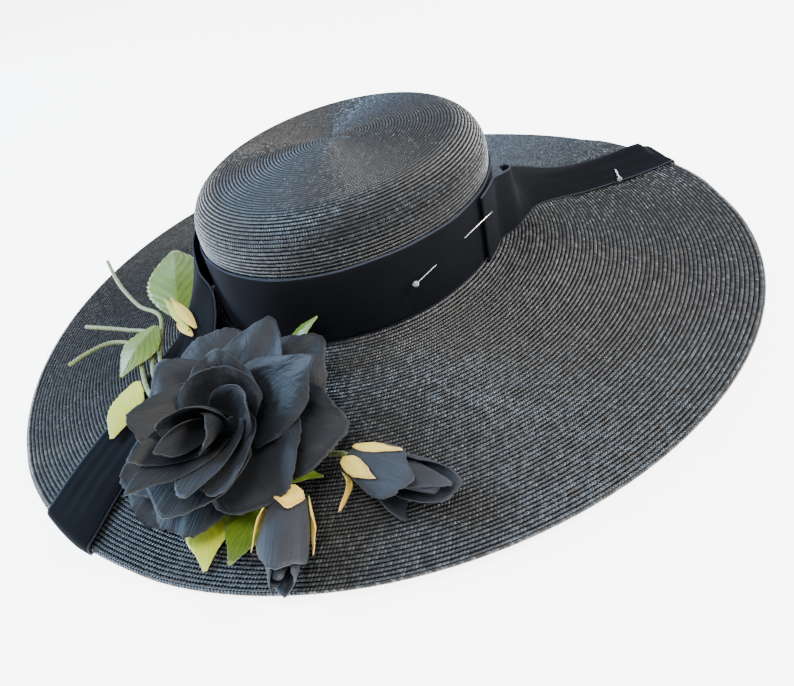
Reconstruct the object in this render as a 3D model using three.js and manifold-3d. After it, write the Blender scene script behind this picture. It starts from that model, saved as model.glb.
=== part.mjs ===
// A wide black straw picture hat: a low crown, a broad brim that waves a little, a velvet ribbon
// pinned round the crown, and a spray of one open rose, two buds, leaves and cut stems on the brim.
// Millimetres, +Z up, the hat's front towards -Y. The origin is under the middle of the brim,
// on the level that the hat rests on.
import * as THREE from 'three';
import { mergeVertices } from 'three/addons/utils/BufferGeometryUtils.js';
import Module from 'manifold-3d';

// Head opening and crown
const HEAD_LENGTH = 196;
const HEAD_WIDTH = 160;
const CROWN_HEIGHT = 65;
const CROWN_DOME = 3.5;
const SHOULDER_RADIUS = 20;
const STRAW = 1.6;
// The crown stands a little behind and to the left of the brim's middle
const CROWN_X = -14;
const CROWN_Y = 7;

// Brim
const BRIM_LENGTH = 442;
const BRIM_WIDTH = 404;
const BRIM_WAVE = 3.2;
const BRIM_TWIST = 0.4;
const BRIM_WAVE_BEARING = 146;
const BRIM_REST = 1.2;
const BRIM_LEDGE = 0.6;

// Velvet ribbon
const RIBBON_WIDTH = 38;
const VELVET = 1.2;
const RIBBON_TURN_UNDER = 32;

// Rose
const ROSE_RADIUS = 56;
const ROSE_DEPTH = 19;
const ROSE_HUB = 13;
const ROSE_HEART = 1.7;
const ROSE_LEAN = 18;
const ROSE_NOD = 30;
const ROSE_NOD_BEARING = -84;
const ROSE_BEARING = -92;
const ROSE_LIFT = 5.5;
const PETAL = 0.9;

// Buds
const BUD_1_LENGTH = 44;
const BUD_1_WIDTH = 20;
const BUD_2_LENGTH = 46;
const BUD_2_WIDTH = 22;
const BUD_1_LAYERS = 4;
const BUD_2_LAYERS = 5;
const SEPAL = 0.9;

// Leaves, stems and pins
const LEAF = 0.9;
const STEM = 2.6;
const PIN_WIRE = 0.8;
const PIN_HEAD = 3.2;
const BAND_PIN_LENGTH = 66;
const TAIL_PIN_LENGTH = 46;

// Gap kept between pieces that touch
const CLEAR = 0.3;

// How finely the round forms are divided
const BRIM_SIDES = 60;
const CROWN_SIDES = 40;

const wasm = await Module();
wasm.setup();

const rad = (degrees) => (degrees * Math.PI) / 180;
const deg = (radians) => (radians * 180) / Math.PI;
const mix = (a, b, t) => a + (b - a) * t;
const clamp = (x, low, high) => Math.min(high, Math.max(low, x));
const smooth = (x) => {
  const t = clamp(x, 0, 1);
  return t * t * (3 - 2 * t);
};

// Value of a table's column at a share, between rows whose first column is `at`
function column(table, name, share) {
  let k = 0;
  while (k < table.length - 2 && share > table[k + 1].at) k += 1;
  const a = table[k];
  const b = table[k + 1];
  return mix(a[name], b[name], clamp((share - a.at) / (b.at - a.at), 0, 1));
}

// Closed solid between two grids of points of the same size. A wrapped solid closes on itself
// along its first index.
function shell(outer, inner, wrapped = false) {
  const positions = [];
  const index = [];
  const seen = new Map();
  const vertex = (p) => {
    const key = p.map((x) => x.toFixed(4)).join();
    if (!seen.has(key)) {
      seen.set(key, positions.length / 3);
      positions.push(...p);
    }
    return seen.get(key);
  };
  const face = (a, b, c) => {
    const ids = [vertex(a), vertex(b), vertex(c)];
    if (ids[0] !== ids[1] && ids[1] !== ids[2] && ids[2] !== ids[0]) index.push(...ids);
  };
  const quad = (a, b, c, d) => {
    face(a, b, c);
    face(a, c, d);
  };
  const rows = outer.length;
  const cols = outer[0].length;
  const last = wrapped ? rows : rows - 1;
  for (let i = 0; i < last; i += 1) {
    const n = (i + 1) % rows;
    for (let j = 0; j < cols - 1; j += 1) {
      quad(outer[i][j], outer[n][j], outer[n][j + 1], outer[i][j + 1]);
      quad(inner[i][j], inner[i][j + 1], inner[n][j + 1], inner[n][j]);
    }
    quad(outer[i][0], inner[i][0], inner[n][0], outer[n][0]);
    quad(outer[i][cols - 1], outer[n][cols - 1], inner[n][cols - 1], inner[i][cols - 1]);
  }
  if (!wrapped) {
    for (let j = 0; j < cols - 1; j += 1) {
      quad(outer[0][j], outer[0][j + 1], inner[0][j + 1], inner[0][j]);
      quad(outer[last][j], inner[last][j], inner[last][j + 1], outer[last][j + 1]);
    }
  }
  let volume = 0;
  const at = (k) => new THREE.Vector3(...positions.slice(3 * k, 3 * k + 3));
  for (let k = 0; k < index.length; k += 3) {
    volume += at(index[k]).dot(at(index[k + 1]).cross(at(index[k + 2])));
  }
  if (volume < 0) index.reverse();
  const geometry = new THREE.BufferGeometry();
  geometry.setAttribute('position', new THREE.Float32BufferAttribute(positions, 3));
  geometry.setIndex(index);
  return geometry;
}

function material(colour, roughness, metalness = 0) {
  return new THREE.MeshStandardMaterial({ color: colour, roughness, metalness });
}

const LOOKS = {
  straw: () => material(0x1b1d20, 0.45),
  velvet: () => material(0x0a0c14, 0.95),
  petal: () => material(0x23272c, 0.6),
  leaf: () => material(0x6d8a2f, 0.45),
  yellowLeaf: () => material(0xa9b256, 0.5),
  sepal: () => material(0xe3d08a, 0.6),
  stem: () => material(0x8f9a63, 0.6),
  steel: () => material(0xc9ccd0, 0.25, 1),
};

const hat = new THREE.Group();

function add(name, geometry, look) {
  const mesh = new THREE.Mesh(geometry, LOOKS[look]());
  mesh.name = name;
  hat.add(mesh);
  return mesh;
}

// Straw body. The ovals run from the crown's foot (share 0) to the brim's edge (share 1).
const HEAD_A = HEAD_WIDTH / 2;
const HEAD_B = HEAD_LENGTH / 2;
const BRIM_A = BRIM_WIDTH / 2;
const BRIM_B = BRIM_LENGTH / 2;
const BRIM_RUN = (BRIM_A + BRIM_B - HEAD_A - HEAD_B) / 2;

function oval(share, bearing) {
  const a = rad(bearing);
  return [
    mix(CROWN_X + HEAD_A * Math.cos(a), BRIM_A * Math.cos(a), share),
    mix(CROWN_Y + HEAD_B * Math.sin(a), BRIM_B * Math.sin(a), share),
  ];
}

// Share and bearing of a place on the plan
function place(x, y) {
  let low = -0.9;
  let high = 1.4;
  let dx = 0;
  let dy = 0;
  for (let k = 0; k < 40; k += 1) {
    const t = (low + high) / 2;
    dx = (x - CROWN_X * (1 - t)) / mix(HEAD_A, BRIM_A, t);
    dy = (y - CROWN_Y * (1 - t)) / mix(HEAD_B, BRIM_B, t);
    if (dx * dx + dy * dy > 1) low = t;
    else high = t;
  }
  return { share: (low + high) / 2, bearing: deg(Math.atan2(dy, dx)) };
}

// How steeply the brim falls away from the crown, in degrees
const BRIM_SLOPES = [
  { at: 0, fall: 24.5 },
  { at: 0.1, fall: 6.2 },
  { at: 0.3, fall: 11.8 },
  { at: 0.6, fall: 5.2 },
  { at: 0.85, fall: -1.3 },
  { at: 1, fall: -7.6 },
];

function brimFall(share) {
  const steps = 40;
  const reach = clamp(share, 0, 1);
  let fall = 0;
  for (let k = 0; k < steps; k += 1) {
    fall += Math.tan(rad(column(BRIM_SLOPES, 'fall', (reach * (k + 0.5)) / steps)));
  }
  return (fall * reach * BRIM_RUN) / steps;
}

function brimWave(share, bearing) {
  const swing = BRIM_WAVE * Math.cos(2 * rad(bearing - BRIM_WAVE_BEARING));
  const twist = BRIM_TWIST * Math.sin(3 * rad(bearing));
  return clamp(share, 0, 1) ** 1.5 * (swing + twist);
}

// Lower edges of the ribbon's two ends, each from the band to near the brim's edge. Share 0 stands
// against the band, `lean` is 90 where the ribbon stands and 0 where it lies, `wide` is the share
// of its width that shows where it puckers, and `hump` is how far it stands off the straw, as a
// share of its width.
const FRONT_TAIL = [
  { share: 0, bearing: 150, lean: 90, wide: 1, hump: 0 },
  { share: 0, bearing: 172, lean: 90, wide: 1, hump: 0 },
  { share: 0.045, bearing: 190, lean: 88.5, wide: 1, hump: 0 },
  { share: 0.1, bearing: 205, lean: 78, wide: 1, hump: 0 },
  { share: 0.2, bearing: 217, lean: 52, wide: 1, hump: 0 },
  { share: 0.36, bearing: 225.5, lean: 6, wide: 0.98, hump: 0.011 },
  { share: 0.6, bearing: 233, lean: 0, wide: 0.88, hump: 0.032 },
  { share: 0.93, bearing: 241.2, lean: 0, wide: 0.82, hump: 0.042 },
];
const BACK_TAIL = [
  { share: 0, bearing: -12, lean: 90, wide: 1, hump: 0 },
  { share: 0, bearing: 2, lean: 90, wide: 1, hump: 0 },
  { share: 0.07, bearing: 13, lean: 87, wide: 0.95, hump: 0 },
  { share: 0.13, bearing: 21, lean: 64, wide: 0.84, hump: 0 },
  { share: 0.22, bearing: 27.5, lean: 36, wide: 0.8, hump: 0.016 },
  { share: 0.4, bearing: 31.5, lean: 16, wide: 0.86, hump: 0.06 },
  { share: 0.65, bearing: 34, lean: 4, wide: 0.95, hump: 0.15 },
  { share: 0.93, bearing: 36, lean: 0, wide: 0.95, hump: 0.21 },
];
// Shape of the hump across a ribbon's end, from its lower edge to its upper
const HUMP_SHAPE = [
  { at: 0, rise: 0 },
  { at: 0.25, rise: 0.1 },
  { at: 0.5, rise: 0.55 },
  { at: 0.75, rise: 1 },
  { at: 1, rise: 0.3 },
];

// Where the ribbon's ends turn under the edge, the brim stands a little off the ground. The
// raised place is wider than the ribbon by the margin and fades out beyond it, both in degrees.
const EDGE_RADIUS = (BRIM_A + BRIM_B) / 2;
const END_MARGIN = 8;
const END_FADE = 7;
const END_RISES_FROM = 0.45;
const END_RISES_OVER = 0.25;
const RIBBON_ENDS = [FRONT_TAIL, BACK_TAIL].map((table) => {
  const end = table[table.length - 1];
  const half = deg((0.5 * end.wide * RIBBON_WIDTH) / EDGE_RADIUS);
  return { bearing: end.bearing + half, half: half + END_MARGIN };
});

function ribbonRaise(share, bearing) {
  let raise = 0;
  for (const end of RIBBON_ENDS) {
    const off = Math.abs(((((bearing - end.bearing) % 360) + 540) % 360) - 180);
    const near = 1 - smooth((off - end.half) / END_FADE);
    raise = Math.max(raise, near);
  }
  return (VELVET + 2 * CLEAR) * raise * smooth((share - END_RISES_FROM) / END_RISES_OVER);
}

// Height of the crown's foot, from the brim's lowest place. The brim rests on what BRIM_REST
// flattens of it.
const FOOT_STEPS = 40;
let lowest = 0;
for (let k = 0; k <= FOOT_STEPS; k += 1) {
  const share = k / FOOT_STEPS;
  const low = BRIM_WAVE_BEARING + 90;
  for (const bearing of [low, low + 180]) {
    lowest = Math.min(lowest, brimWave(share, bearing) - brimFall(share));
  }
}
const FOOT_Z = STRAW - BRIM_REST - lowest;

function brimUnder(share, bearing) {
  const free = FOOT_Z - STRAW - brimFall(share) + brimWave(share, bearing);
  return Math.max(0, free) + ribbonRaise(share, bearing);
}

function brimTop(share, bearing) {
  return brimUnder(share, bearing) + STRAW;
}

function topAt(x, y) {
  const { share, bearing } = place(x, y);
  return brimTop(share, bearing);
}

const BRIM_SECTIONS = [0, 0.06, 0.16, 0.32, 0.48, 0.64, 0.8, 0.92, 1];

function makeBrim() {
  const top = [];
  const under = [];
  const inner = -(STRAW + BRIM_LEDGE) / BRIM_RUN;
  for (let k = 0; k < BRIM_SIDES; k += 1) {
    const bearing = (360 * k) / BRIM_SIDES;
    const shares = [inner, ...BRIM_SECTIONS];
    top.push(shares.map((t) => [...oval(t, bearing), brimTop(Math.max(t, 0), bearing)]));
    under.push(shares.map((t) => [...oval(t, bearing), brimUnder(Math.max(t, 0), bearing)]));
  }
  return shell(top, under, true);
}

// Height above the foot and distance in from the foot's oval, along the outside of the crown
const CROWN_SECTIONS = [
  { up: 0, round: 0 },
  { up: 0.5, round: 0 },
  { up: 1, round: 0 },
  { up: 1, round: 22.5 },
  { up: 1, round: 45 },
  { up: 1, round: 67.5 },
  { up: 1, round: 90 },
];
const TOP_RINGS = [0.6, 0];

function crownSurface(inset, bearing) {
  const points = [];
  const wall = CROWN_HEIGHT - SHOULDER_RADIUS;
  const round = SHOULDER_RADIUS - inset;
  const a = rad(bearing);
  const ring = (inward, z) => [
    CROWN_X + (HEAD_A - inward) * Math.cos(a),
    CROWN_Y + (HEAD_B - inward) * Math.sin(a),
    FOOT_Z + CLEAR + z,
  ];
  for (const row of CROWN_SECTIONS) {
    const turn = rad(row.round);
    points.push(ring(inset + round * (1 - Math.cos(turn)), row.up * wall + round * Math.sin(turn)));
  }
  const flat = [HEAD_A - SHOULDER_RADIUS, HEAD_B - SHOULDER_RADIUS];
  for (const t of TOP_RINGS) {
    points.push([
      CROWN_X + t * flat[0] * Math.cos(a),
      CROWN_Y + t * flat[1] * Math.sin(a),
      FOOT_Z + CLEAR + CROWN_HEIGHT - inset + CROWN_DOME * (1 - t * t),
    ]);
  }
  return points;
}

function makeCrown() {
  const outer = [];
  const inner = [];
  for (let k = 0; k < CROWN_SIDES; k += 1) {
    const bearing = (360 * k) / CROWN_SIDES;
    outer.push(crownSurface(0, bearing));
    inner.push(crownSurface(STRAW, bearing));
  }
  return shell(outer, inner, true);
}

// The ribbon stands against the crown as a band
function wallPoint(bearing, out, z) {
  const a = rad(bearing);
  const normal = new THREE.Vector2(Math.cos(a) / HEAD_A, Math.sin(a) / HEAD_B).normalize();
  return [
    CROWN_X + HEAD_A * Math.cos(a) + normal.x * out,
    CROWN_Y + HEAD_B * Math.sin(a) + normal.y * out,
    z,
  ];
}

const BAND_FOOT = FOOT_Z + CLEAR;
const BAND_OUT = CLEAR + VELVET;

function makeBand() {
  const outer = [];
  const inner = [];
  for (let k = 0; k < BRIM_SIDES; k += 1) {
    const bearing = (360 * k) / BRIM_SIDES;
    const heights = [0, 0.5, 1].map((t) => BAND_FOOT + t * RIBBON_WIDTH);
    outer.push(heights.map((z) => wallPoint(bearing, BAND_OUT, z)));
    inner.push(heights.map((z) => wallPoint(bearing, CLEAR, z)));
  }
  return shell(outer, inner, true);
}

// A ribbon's end leaves the band, turns over from standing to lying, runs to the brim's edge and
// is turned under it.
const ACROSS = [0, 0.25, 0.5, 0.75, 1];
const EDGE_TURNS = [10, 60, 120, 170];
const EDGE_HUMP = 0.35;
const EDGE_TRIES = 12;
const TAIL_OFF_BAND = 4 * CLEAR;
const TAIL_OFF_STRAW = 1.6 * CLEAR;
const TAIL_OFF_EDGE = 2 * CLEAR;

function tailGrid(table) {
  const end = table.length - 1;
  const steps = 2 * end;
  const curve = new THREE.CatmullRomCurve3(table.map((row) => (
    new THREE.Vector3(row.share, row.bearing, row.lean)
  )));
  const between = (name, u) => {
    const k = Math.min(end - 1, Math.floor(u * end));
    return mix(table[k][name], table[k + 1][name], u * end - k);
  };
  const near = (BAND_OUT + TAIL_OFF_BAND) / BRIM_RUN;
  const plan = (u) => {
    const at = curve.getPoint(clamp(u, 0, 1));
    return new THREE.Vector2(...oval(Math.max(at.x, 0) + near, at.y));
  };
  const heading = (u) => plan(u + 0.01).sub(plan(u - 0.01)).normalize();
  const stations = [];
  for (let k = 0; k <= steps; k += 1) {
    const u = k / steps;
    const way = heading(u);
    stations.push({
      p: plan(u),
      way,
      side: new THREE.Vector2(-way.y, way.x),
      lean: rad(clamp(curve.getPoint(u).z, 0, 90)),
      wide: between('wide', u) * RIBBON_WIDTH,
      hump: between('hump', u) * RIBBON_WIDTH,
    });
  }
  const outer = [];
  const inner = [];
  const row = (make) => {
    outer.push(ACROSS.map((w) => make(w, VELVET)));
    inner.push(ACROSS.map((w) => make(w, 0)));
  };
  for (const s of stations) {
    row((w, thick) => {
      const reach = w * s.wide;
      const flat = Math.cos(s.lean);
      const upright = Math.sin(s.lean);
      const x = s.p.x + s.side.x * (reach * flat - thick * upright);
      const y = s.p.y + s.side.y * (reach * flat - thick * upright);
      const ground = topAt(s.p.x + s.side.x * reach * flat, s.p.y + s.side.y * reach * flat);
      const rise = s.hump * column(HUMP_SHAPE, 'rise', w);
      return [x, y, ground + TAIL_OFF_STRAW + rise * flat + reach * upright + thick * flat];
    });
  }
  const tip = stations[steps];
  const edges = new Map(ACROSS.map((w) => {
    const x = tip.p.x + tip.side.x * w * tip.wide;
    const y = tip.p.y + tip.side.y * w * tip.wide;
    let step = 0;
    for (let k = 0; k < EDGE_TRIES; k += 1) {
      step += (1 - place(x + tip.way.x * step, y + tip.way.y * step).share) * BRIM_RUN;
    }
    const edge = { x: x + tip.way.x * step, y: y + tip.way.y * step };
    return [w, { ...edge, bearing: place(edge.x, edge.y).bearing }];
  }));
  for (const turn of EDGE_TURNS) {
    row((w, thick) => {
      const e = edges.get(w);
      const sine = Math.sin(rad(turn));
      const cosine = Math.cos(rad(turn));
      const radius = STRAW / 2 + TAIL_OFF_EDGE + thick;
      const rise = EDGE_HUMP * tip.hump * column(HUMP_SHAPE, 'rise', w);
      const out = (radius + rise) * sine;
      const z = brimUnder(1, e.bearing) + STRAW / 2 + radius * cosine + rise * Math.max(0, cosine);
      return [e.x + tip.way.x * out, e.y + tip.way.y * out, z];
    });
  }
  for (const back of [0.5, 1]) {
    row((w, thick) => {
      const e = edges.get(w);
      const x = e.x - tip.way.x * back * RIBBON_TURN_UNDER;
      const y = e.y - tip.way.y * back * RIBBON_TURN_UNDER;
      const under = place(x, y);
      return [x, y, brimUnder(under.share, under.bearing) - CLEAR - thick];
    });
  }
  return { outer, inner };
}

// A place over the brim. Its lift above the straw is a share of the rose's depth.
const at = (share, bearing, lift) => ({ share, bearing, lift });

function over({ share, bearing, lift }) {
  const [x, y] = oval(share, bearing);
  return new THREE.Vector3(x, y, brimTop(share, bearing) + lift * ROSE_DEPTH);
}

// Share of a place that keeps its distance from the band, in shares of the rose's depth
const besideBand = (out) => (BAND_OUT + out * ROSE_DEPTH) / BRIM_RUN;

// A flower's petals lie on nested surfaces of revolution round its axis, from the heart (rank 0)
// to the outside (rank 1). A surface starts on the hub, sets off at one angle from the axis and
// bends steadily to another over the length `bend`.
function bloom(spec) {
  const axis = spec.axis.clone().normalize();
  const turn = new THREE.Quaternion().setFromUnitVectors(new THREE.Vector3(0, 0, 1), axis);
  const curve = (rank, s) => {
    const start = rad(mix(spec.start[0], spec.start[1], rank));
    const end = rad(mix(spec.end[0], spec.end[1], rank));
    const rate = (end - start) / spec.bend;
    const angle = start + rate * s;
    return {
      r: mix(spec.heart, spec.hub, rank) + (Math.cos(start) - Math.cos(angle)) / rate,
      h: mix(spec.depth, 0, rank) + (Math.sin(angle) - Math.sin(start)) / rate,
      angle,
    };
  };
  const toHat = (r, bearing, h) => {
    const nod = spec.nod ? spec.nod * Math.max(0, h / spec.tall) ** 2 : 0;
    const n = rad(spec.nodBearing ?? 0);
    const p = new THREE.Vector3(
      r * Math.cos(bearing) + nod * Math.cos(n),
      r * Math.sin(bearing) + nod * Math.sin(n),
      h,
    );
    p.applyQuaternion(turn);
    p.z *= spec.squash ?? 1;
    return p.add(spec.base).toArray();
  };
  return { curve, toHat };
}

const PETAL_ACROSS = [-1, -0.68, -0.34, 0, 0.34, 0.68, 1];
const PETAL_ALONG = [0, 0.22, 0.45, 0.7, 1];
const SEPAL_ACROSS = [-1, 0, 1];
// A petal's root as a share of its width, where it is widest, and how far round it may wrap
const ROOT_SHARE = 0.3;
const WIDEST = 0.7;
const MOST_WRAP = 2.1;
// How far a petal's corners fall short of its tip, and how suddenly, for a round and a pointed tip
const ROUND_TIP = { short: 0.3, power: 2.2 };
const POINTED_TIP = { short: 0.55, power: 1.1 };

// One petal on its surface: `bearing` of its middle, `width` and `length` in mm, and `point` from
// 0 for a round tip to 1 for a pointed one. `flare` is how far its tip springs off the surface.
function petal(flower, row, thick, across = PETAL_ACROSS) {
  const side = (offset) => across.map((u) => PETAL_ALONG.map((v) => {
    const power = mix(ROUND_TIP.power, POINTED_TIP.power, row.point);
    const corner = mix(ROUND_TIP.short, POINTED_TIP.short, row.point) * Math.abs(u) ** power;
    const reach = v * (1 - corner);
    const on = flower.curve(row.rank, reach * row.length);
    const off = offset + row.flare * reach ** 3;
    const spread = mix(ROOT_SHARE, 1, Math.sin((Math.PI / 2) * Math.min(1, v / WIDEST)));
    const wrap = Math.min(MOST_WRAP, ((row.width / 2) * spread) / on.r);
    const r = on.r + off * Math.cos(on.angle);
    const h = on.h - off * Math.sin(on.angle);
    return flower.toHat(r, rad(row.bearing) + u * wrap, h);
  }));
  return shell(side(thick / 2), side(-thick / 2));
}

// Solid of revolution inside a flower's innermost surface or under all of them
function hub(flower, profile, sides) {
  const outline = profile.map(([r, h]) => new THREE.Vector2(r, h));
  const geometry = new THREE.LatheGeometry(outline, sides);
  const p = geometry.attributes.position;
  for (let k = 0; k < p.count; k += 1) {
    const r = Math.hypot(p.getX(k), p.getZ(k));
    const bearing = Math.atan2(-p.getZ(k), p.getX(k));
    p.setXYZ(k, ...flower.toHat(r, bearing, p.getY(k)));
  }
  return geometry;
}

// The rose sits against the band at the front of the crown
const ROSE_OFF_BAND = 4;
const roseWay = new THREE.Vector2(Math.cos(rad(ROSE_BEARING)), Math.sin(rad(ROSE_BEARING)));
const roseReach = 1 / Math.hypot(roseWay.x / HEAD_A, roseWay.y / HEAD_B);
const ROSE_OUT = roseReach + BAND_OUT + ROSE_RADIUS + ROSE_OFF_BAND;
const ROSE_X = CROWN_X + ROSE_OUT * roseWay.x;
const ROSE_Y = CROWN_Y + ROSE_OUT * roseWay.y;
// How far the heart's petals stand above the core, as a share of the radius
const ROSE_HEART_STANDS = 0.46;
// Height that the nod is measured over, and length that a petal bends over
const ROSE_TALL = ROSE_DEPTH + ROSE_HEART_STANDS * ROSE_RADIUS;
const ROSE_BEND = 0.9 * ROSE_RADIUS;

const rose = bloom({
  base: new THREE.Vector3(ROSE_X, ROSE_Y, topAt(ROSE_X, ROSE_Y) + ROSE_LIFT),
  axis: new THREE.Vector3(0, -Math.sin(rad(ROSE_LEAN)), Math.cos(rad(ROSE_LEAN))),
  heart: ROSE_HEART,
  hub: ROSE_HUB,
  depth: ROSE_DEPTH,
  start: [30, 60],
  end: [-24, 98],
  bend: ROSE_BEND,
  nod: ROSE_NOD,
  nodBearing: ROSE_NOD_BEARING,
  tall: ROSE_TALL,
});

// Petals from the heart outwards. `layer` counts the nested surfaces, `bearing` is in degrees,
// `width` and `length` are shares of the rose's radius.
const ROSE_LAYERS = 16;
const ROSE_CROWDING = 0.85;
const ROSE_PETALS = [
  { layer: 0, bearing: 200, width: 0.36, length: 0.4, point: 0.2 },
  { layer: 1, bearing: 20, width: 0.46, length: 0.44, point: 0.2 },
  { layer: 2, bearing: 130, width: 0.56, length: 0.48, point: 0.2 },
  { layer: 3, bearing: 205, width: 0.56, length: 0.56, point: 1 },
  { layer: 4, bearing: 240, width: 0.6, length: 0.6, point: 1 },
  { layer: 5, bearing: -60, width: 0.66, length: 0.58, point: 0.8 },
  { layer: 6, bearing: 42, width: 0.72, length: 0.66, point: 1 },
  { layer: 7, bearing: -40, width: 0.7, length: 0.62, point: 0.7 },
  { layer: 8, bearing: -78, width: 0.9, length: 0.62, point: 0 },
  { layer: 8, bearing: 97, width: 0.8, length: 0.58, point: 0.2 },
  { layer: 9, bearing: 168, width: 0.8, length: 0.64, point: 0.6 },
  { layer: 10, bearing: 104, width: 0.8, length: 0.7, point: 0.9 },
  { layer: 11, bearing: 42, width: 0.86, length: 0.99, point: 1 },
  { layer: 11, bearing: 222, width: 0.86, length: 0.62, point: 0.1 },
  { layer: 12, bearing: 142, width: 0.84, length: 0.78, point: 0.6 },
  { layer: 12, bearing: -28, width: 0.9, length: 0.76, point: 0 },
  { layer: 13, bearing: 84, width: 0.86, length: 0.94, point: 1 },
  { layer: 13, bearing: -86, width: 0.82, length: 0.69, point: 0.1 },
  { layer: 14, bearing: 2, width: 0.9, length: 0.84, point: 0 },
  { layer: 14.2, bearing: 116, width: 0.84, length: 0.84, point: 0.2 },
  { layer: 15, bearing: -54, width: 0.76, length: 0.56, point: 0.1 },
  { layer: 15.2, bearing: 58, width: 0.86, length: 0.84, point: 0.2 },
  { layer: 16, bearing: -122, width: 0.9, length: 0.7, point: 0.3 },
];

// Room between a core's side and the middle of the petals that start on it
const CORE_GAP = PETAL / 2 + CLEAR;
const CORE_SIDES = 12;
const ROSE_CORE_FOOT = -2;
const ROSE_CORE_RINGS = [0, 0.33, 0.66, 1];
// How far in the core's sole, foot and top stay from the petals' surfaces
const ROSE_SOLE_IN = 3 * CORE_GAP;
const ROSE_FOOT_IN = 2.4 * CORE_GAP;
const ROSE_TOP_IN = 1.2 * CORE_GAP;

function addRose() {
  const side = ROSE_CORE_RINGS.map((t) => [
    mix(ROSE_HUB - ROSE_FOOT_IN, ROSE_HEART - ROSE_TOP_IN, t),
    t * ROSE_DEPTH,
  ]);
  const foot = [[0, ROSE_CORE_FOOT], [ROSE_HUB - ROSE_SOLE_IN, ROSE_CORE_FOOT]];
  const profile = [...foot, ...side, [0, ROSE_DEPTH + CORE_GAP]];
  add('rose_core', hub(rose, profile, CORE_SIDES), 'petal');
  ROSE_PETALS.forEach((row, k) => {
    const sized = {
      rank: (row.layer / ROSE_LAYERS) ** ROSE_CROWDING,
      bearing: row.bearing,
      width: row.width * ROSE_RADIUS,
      length: row.length * ROSE_RADIUS,
      point: row.point,
      flare: 0,
    };
    add(`rose_petal_${String(k + 1).padStart(2, '0')}`, petal(rose, sized, PETAL), 'petal');
  });
}

// A bud: a closed core, petals round it and sepals outside them. Widths and flares are shares of
// the bud's width, lengths of its length.
const BUD_1_PETALS = [
  { layer: 1, bearing: 215, width: 1.5, length: 0.96, point: 0.2 },
  { layer: 2, bearing: -35, width: 1.5, length: 0.96, point: 0.3 },
  { layer: 3, bearing: 84, width: 1.5, length: 0.88, point: 0.2 },
];
const BUD_1_SEPALS = [
  { layer: 4.15, bearing: 90, width: 0.58, length: 0.34, point: 0.6 },
  { layer: 4, bearing: 0, width: 0.42, length: 0.62, point: 1 },
  { layer: 4, bearing: 180, width: 0.42, length: 0.62, point: 1 },
];
const BUD_2_PETALS = [
  { layer: 1, bearing: 125, width: 1.5, length: 0.98, point: 0.4 },
  { layer: 2, bearing: 25, width: 1.5, length: 1, point: 0.3 },
  { layer: 3, bearing: -50, width: 0.8, length: 0.68, point: 0.9, flare: 0.45 },
  { layer: 4, bearing: 192, width: 1.3, length: 0.78, point: 0.4 },
];
const BUD_2_SEPALS = [
  { layer: 4.6, bearing: 146, width: 0.3, length: 0.54, point: 0.7 },
  { layer: 5, bearing: 203, width: 0.4, length: 0.5, point: 1 },
  { layer: 4.6, bearing: -90, width: 0.26, length: 0.28, point: 0.8, flare: 0.55 },
];

// A bud's core: its share of the bud's length, its least radius and the height of its cap
const BUD_CORE_LENGTH = 0.84;
const BUD_CORE_LEAST = 0.8;
const BUD_CORE_CAP = 0.6;
const BUD_CORE_RINGS = [0, 0.2, 0.4, 0.6, 0.8, 1];

function addBud(name, flower, size, petals, sepals) {
  const profile = BUD_CORE_RINGS.map((v) => {
    const on = flower.curve(1 / size.layers, v * BUD_CORE_LENGTH * size.length);
    return [Math.max(BUD_CORE_LEAST, on.r - 2 * CORE_GAP), on.h];
  });
  const top = profile[profile.length - 1][1] + BUD_CORE_CAP;
  add(`${name}_core`, hub(flower, [[0, profile[0][1]], ...profile, [0, top]], CORE_SIDES), 'petal');
  const sized = (row) => ({
    rank: row.layer / size.layers,
    bearing: row.bearing,
    width: row.width * size.width,
    length: row.length * size.length,
    point: row.point,
    flare: (row.flare ?? 0) * size.width,
  });
  petals.forEach((row, k) => {
    add(`${name}_petal_${k + 1}`, petal(flower, sized(row), PETAL), 'petal');
  });
  sepals.forEach((row, k) => {
    add(`${name}_sepal_${k + 1}`, petal(flower, sized(row), SEPAL, SEPAL_ACROSS), 'sepal');
  });
}

const BUD_1 = { base: over(at(0.72, -82, 0.468)), tip: over(at(1.04, -81, 0.495)) };
const BUD_2 = { base: over(at(0.6, -73, 0.505)), tip: over(at(0.8, -63.3, 0.66)) };

const bud1 = bloom({
  base: BUD_1.base,
  axis: BUD_1.tip.clone().sub(BUD_1.base),
  heart: 0.14 * BUD_1_WIDTH,
  hub: 0.37 * BUD_1_WIDTH,
  depth: 0.04 * BUD_1_LENGTH,
  start: [13, 17],
  end: [-24, -14],
  bend: BUD_1_LENGTH,
  squash: 0.85,
});

const bud2 = bloom({
  base: BUD_2.base,
  axis: BUD_2.tip.clone().sub(BUD_2.base),
  heart: 0.06 * BUD_2_WIDTH,
  hub: 0.4 * BUD_2_WIDTH,
  depth: 0.06 * BUD_2_LENGTH,
  start: [20, 22],
  end: [-26, 4],
  bend: BUD_2_LENGTH,
  squash: 0.56,
});

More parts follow.
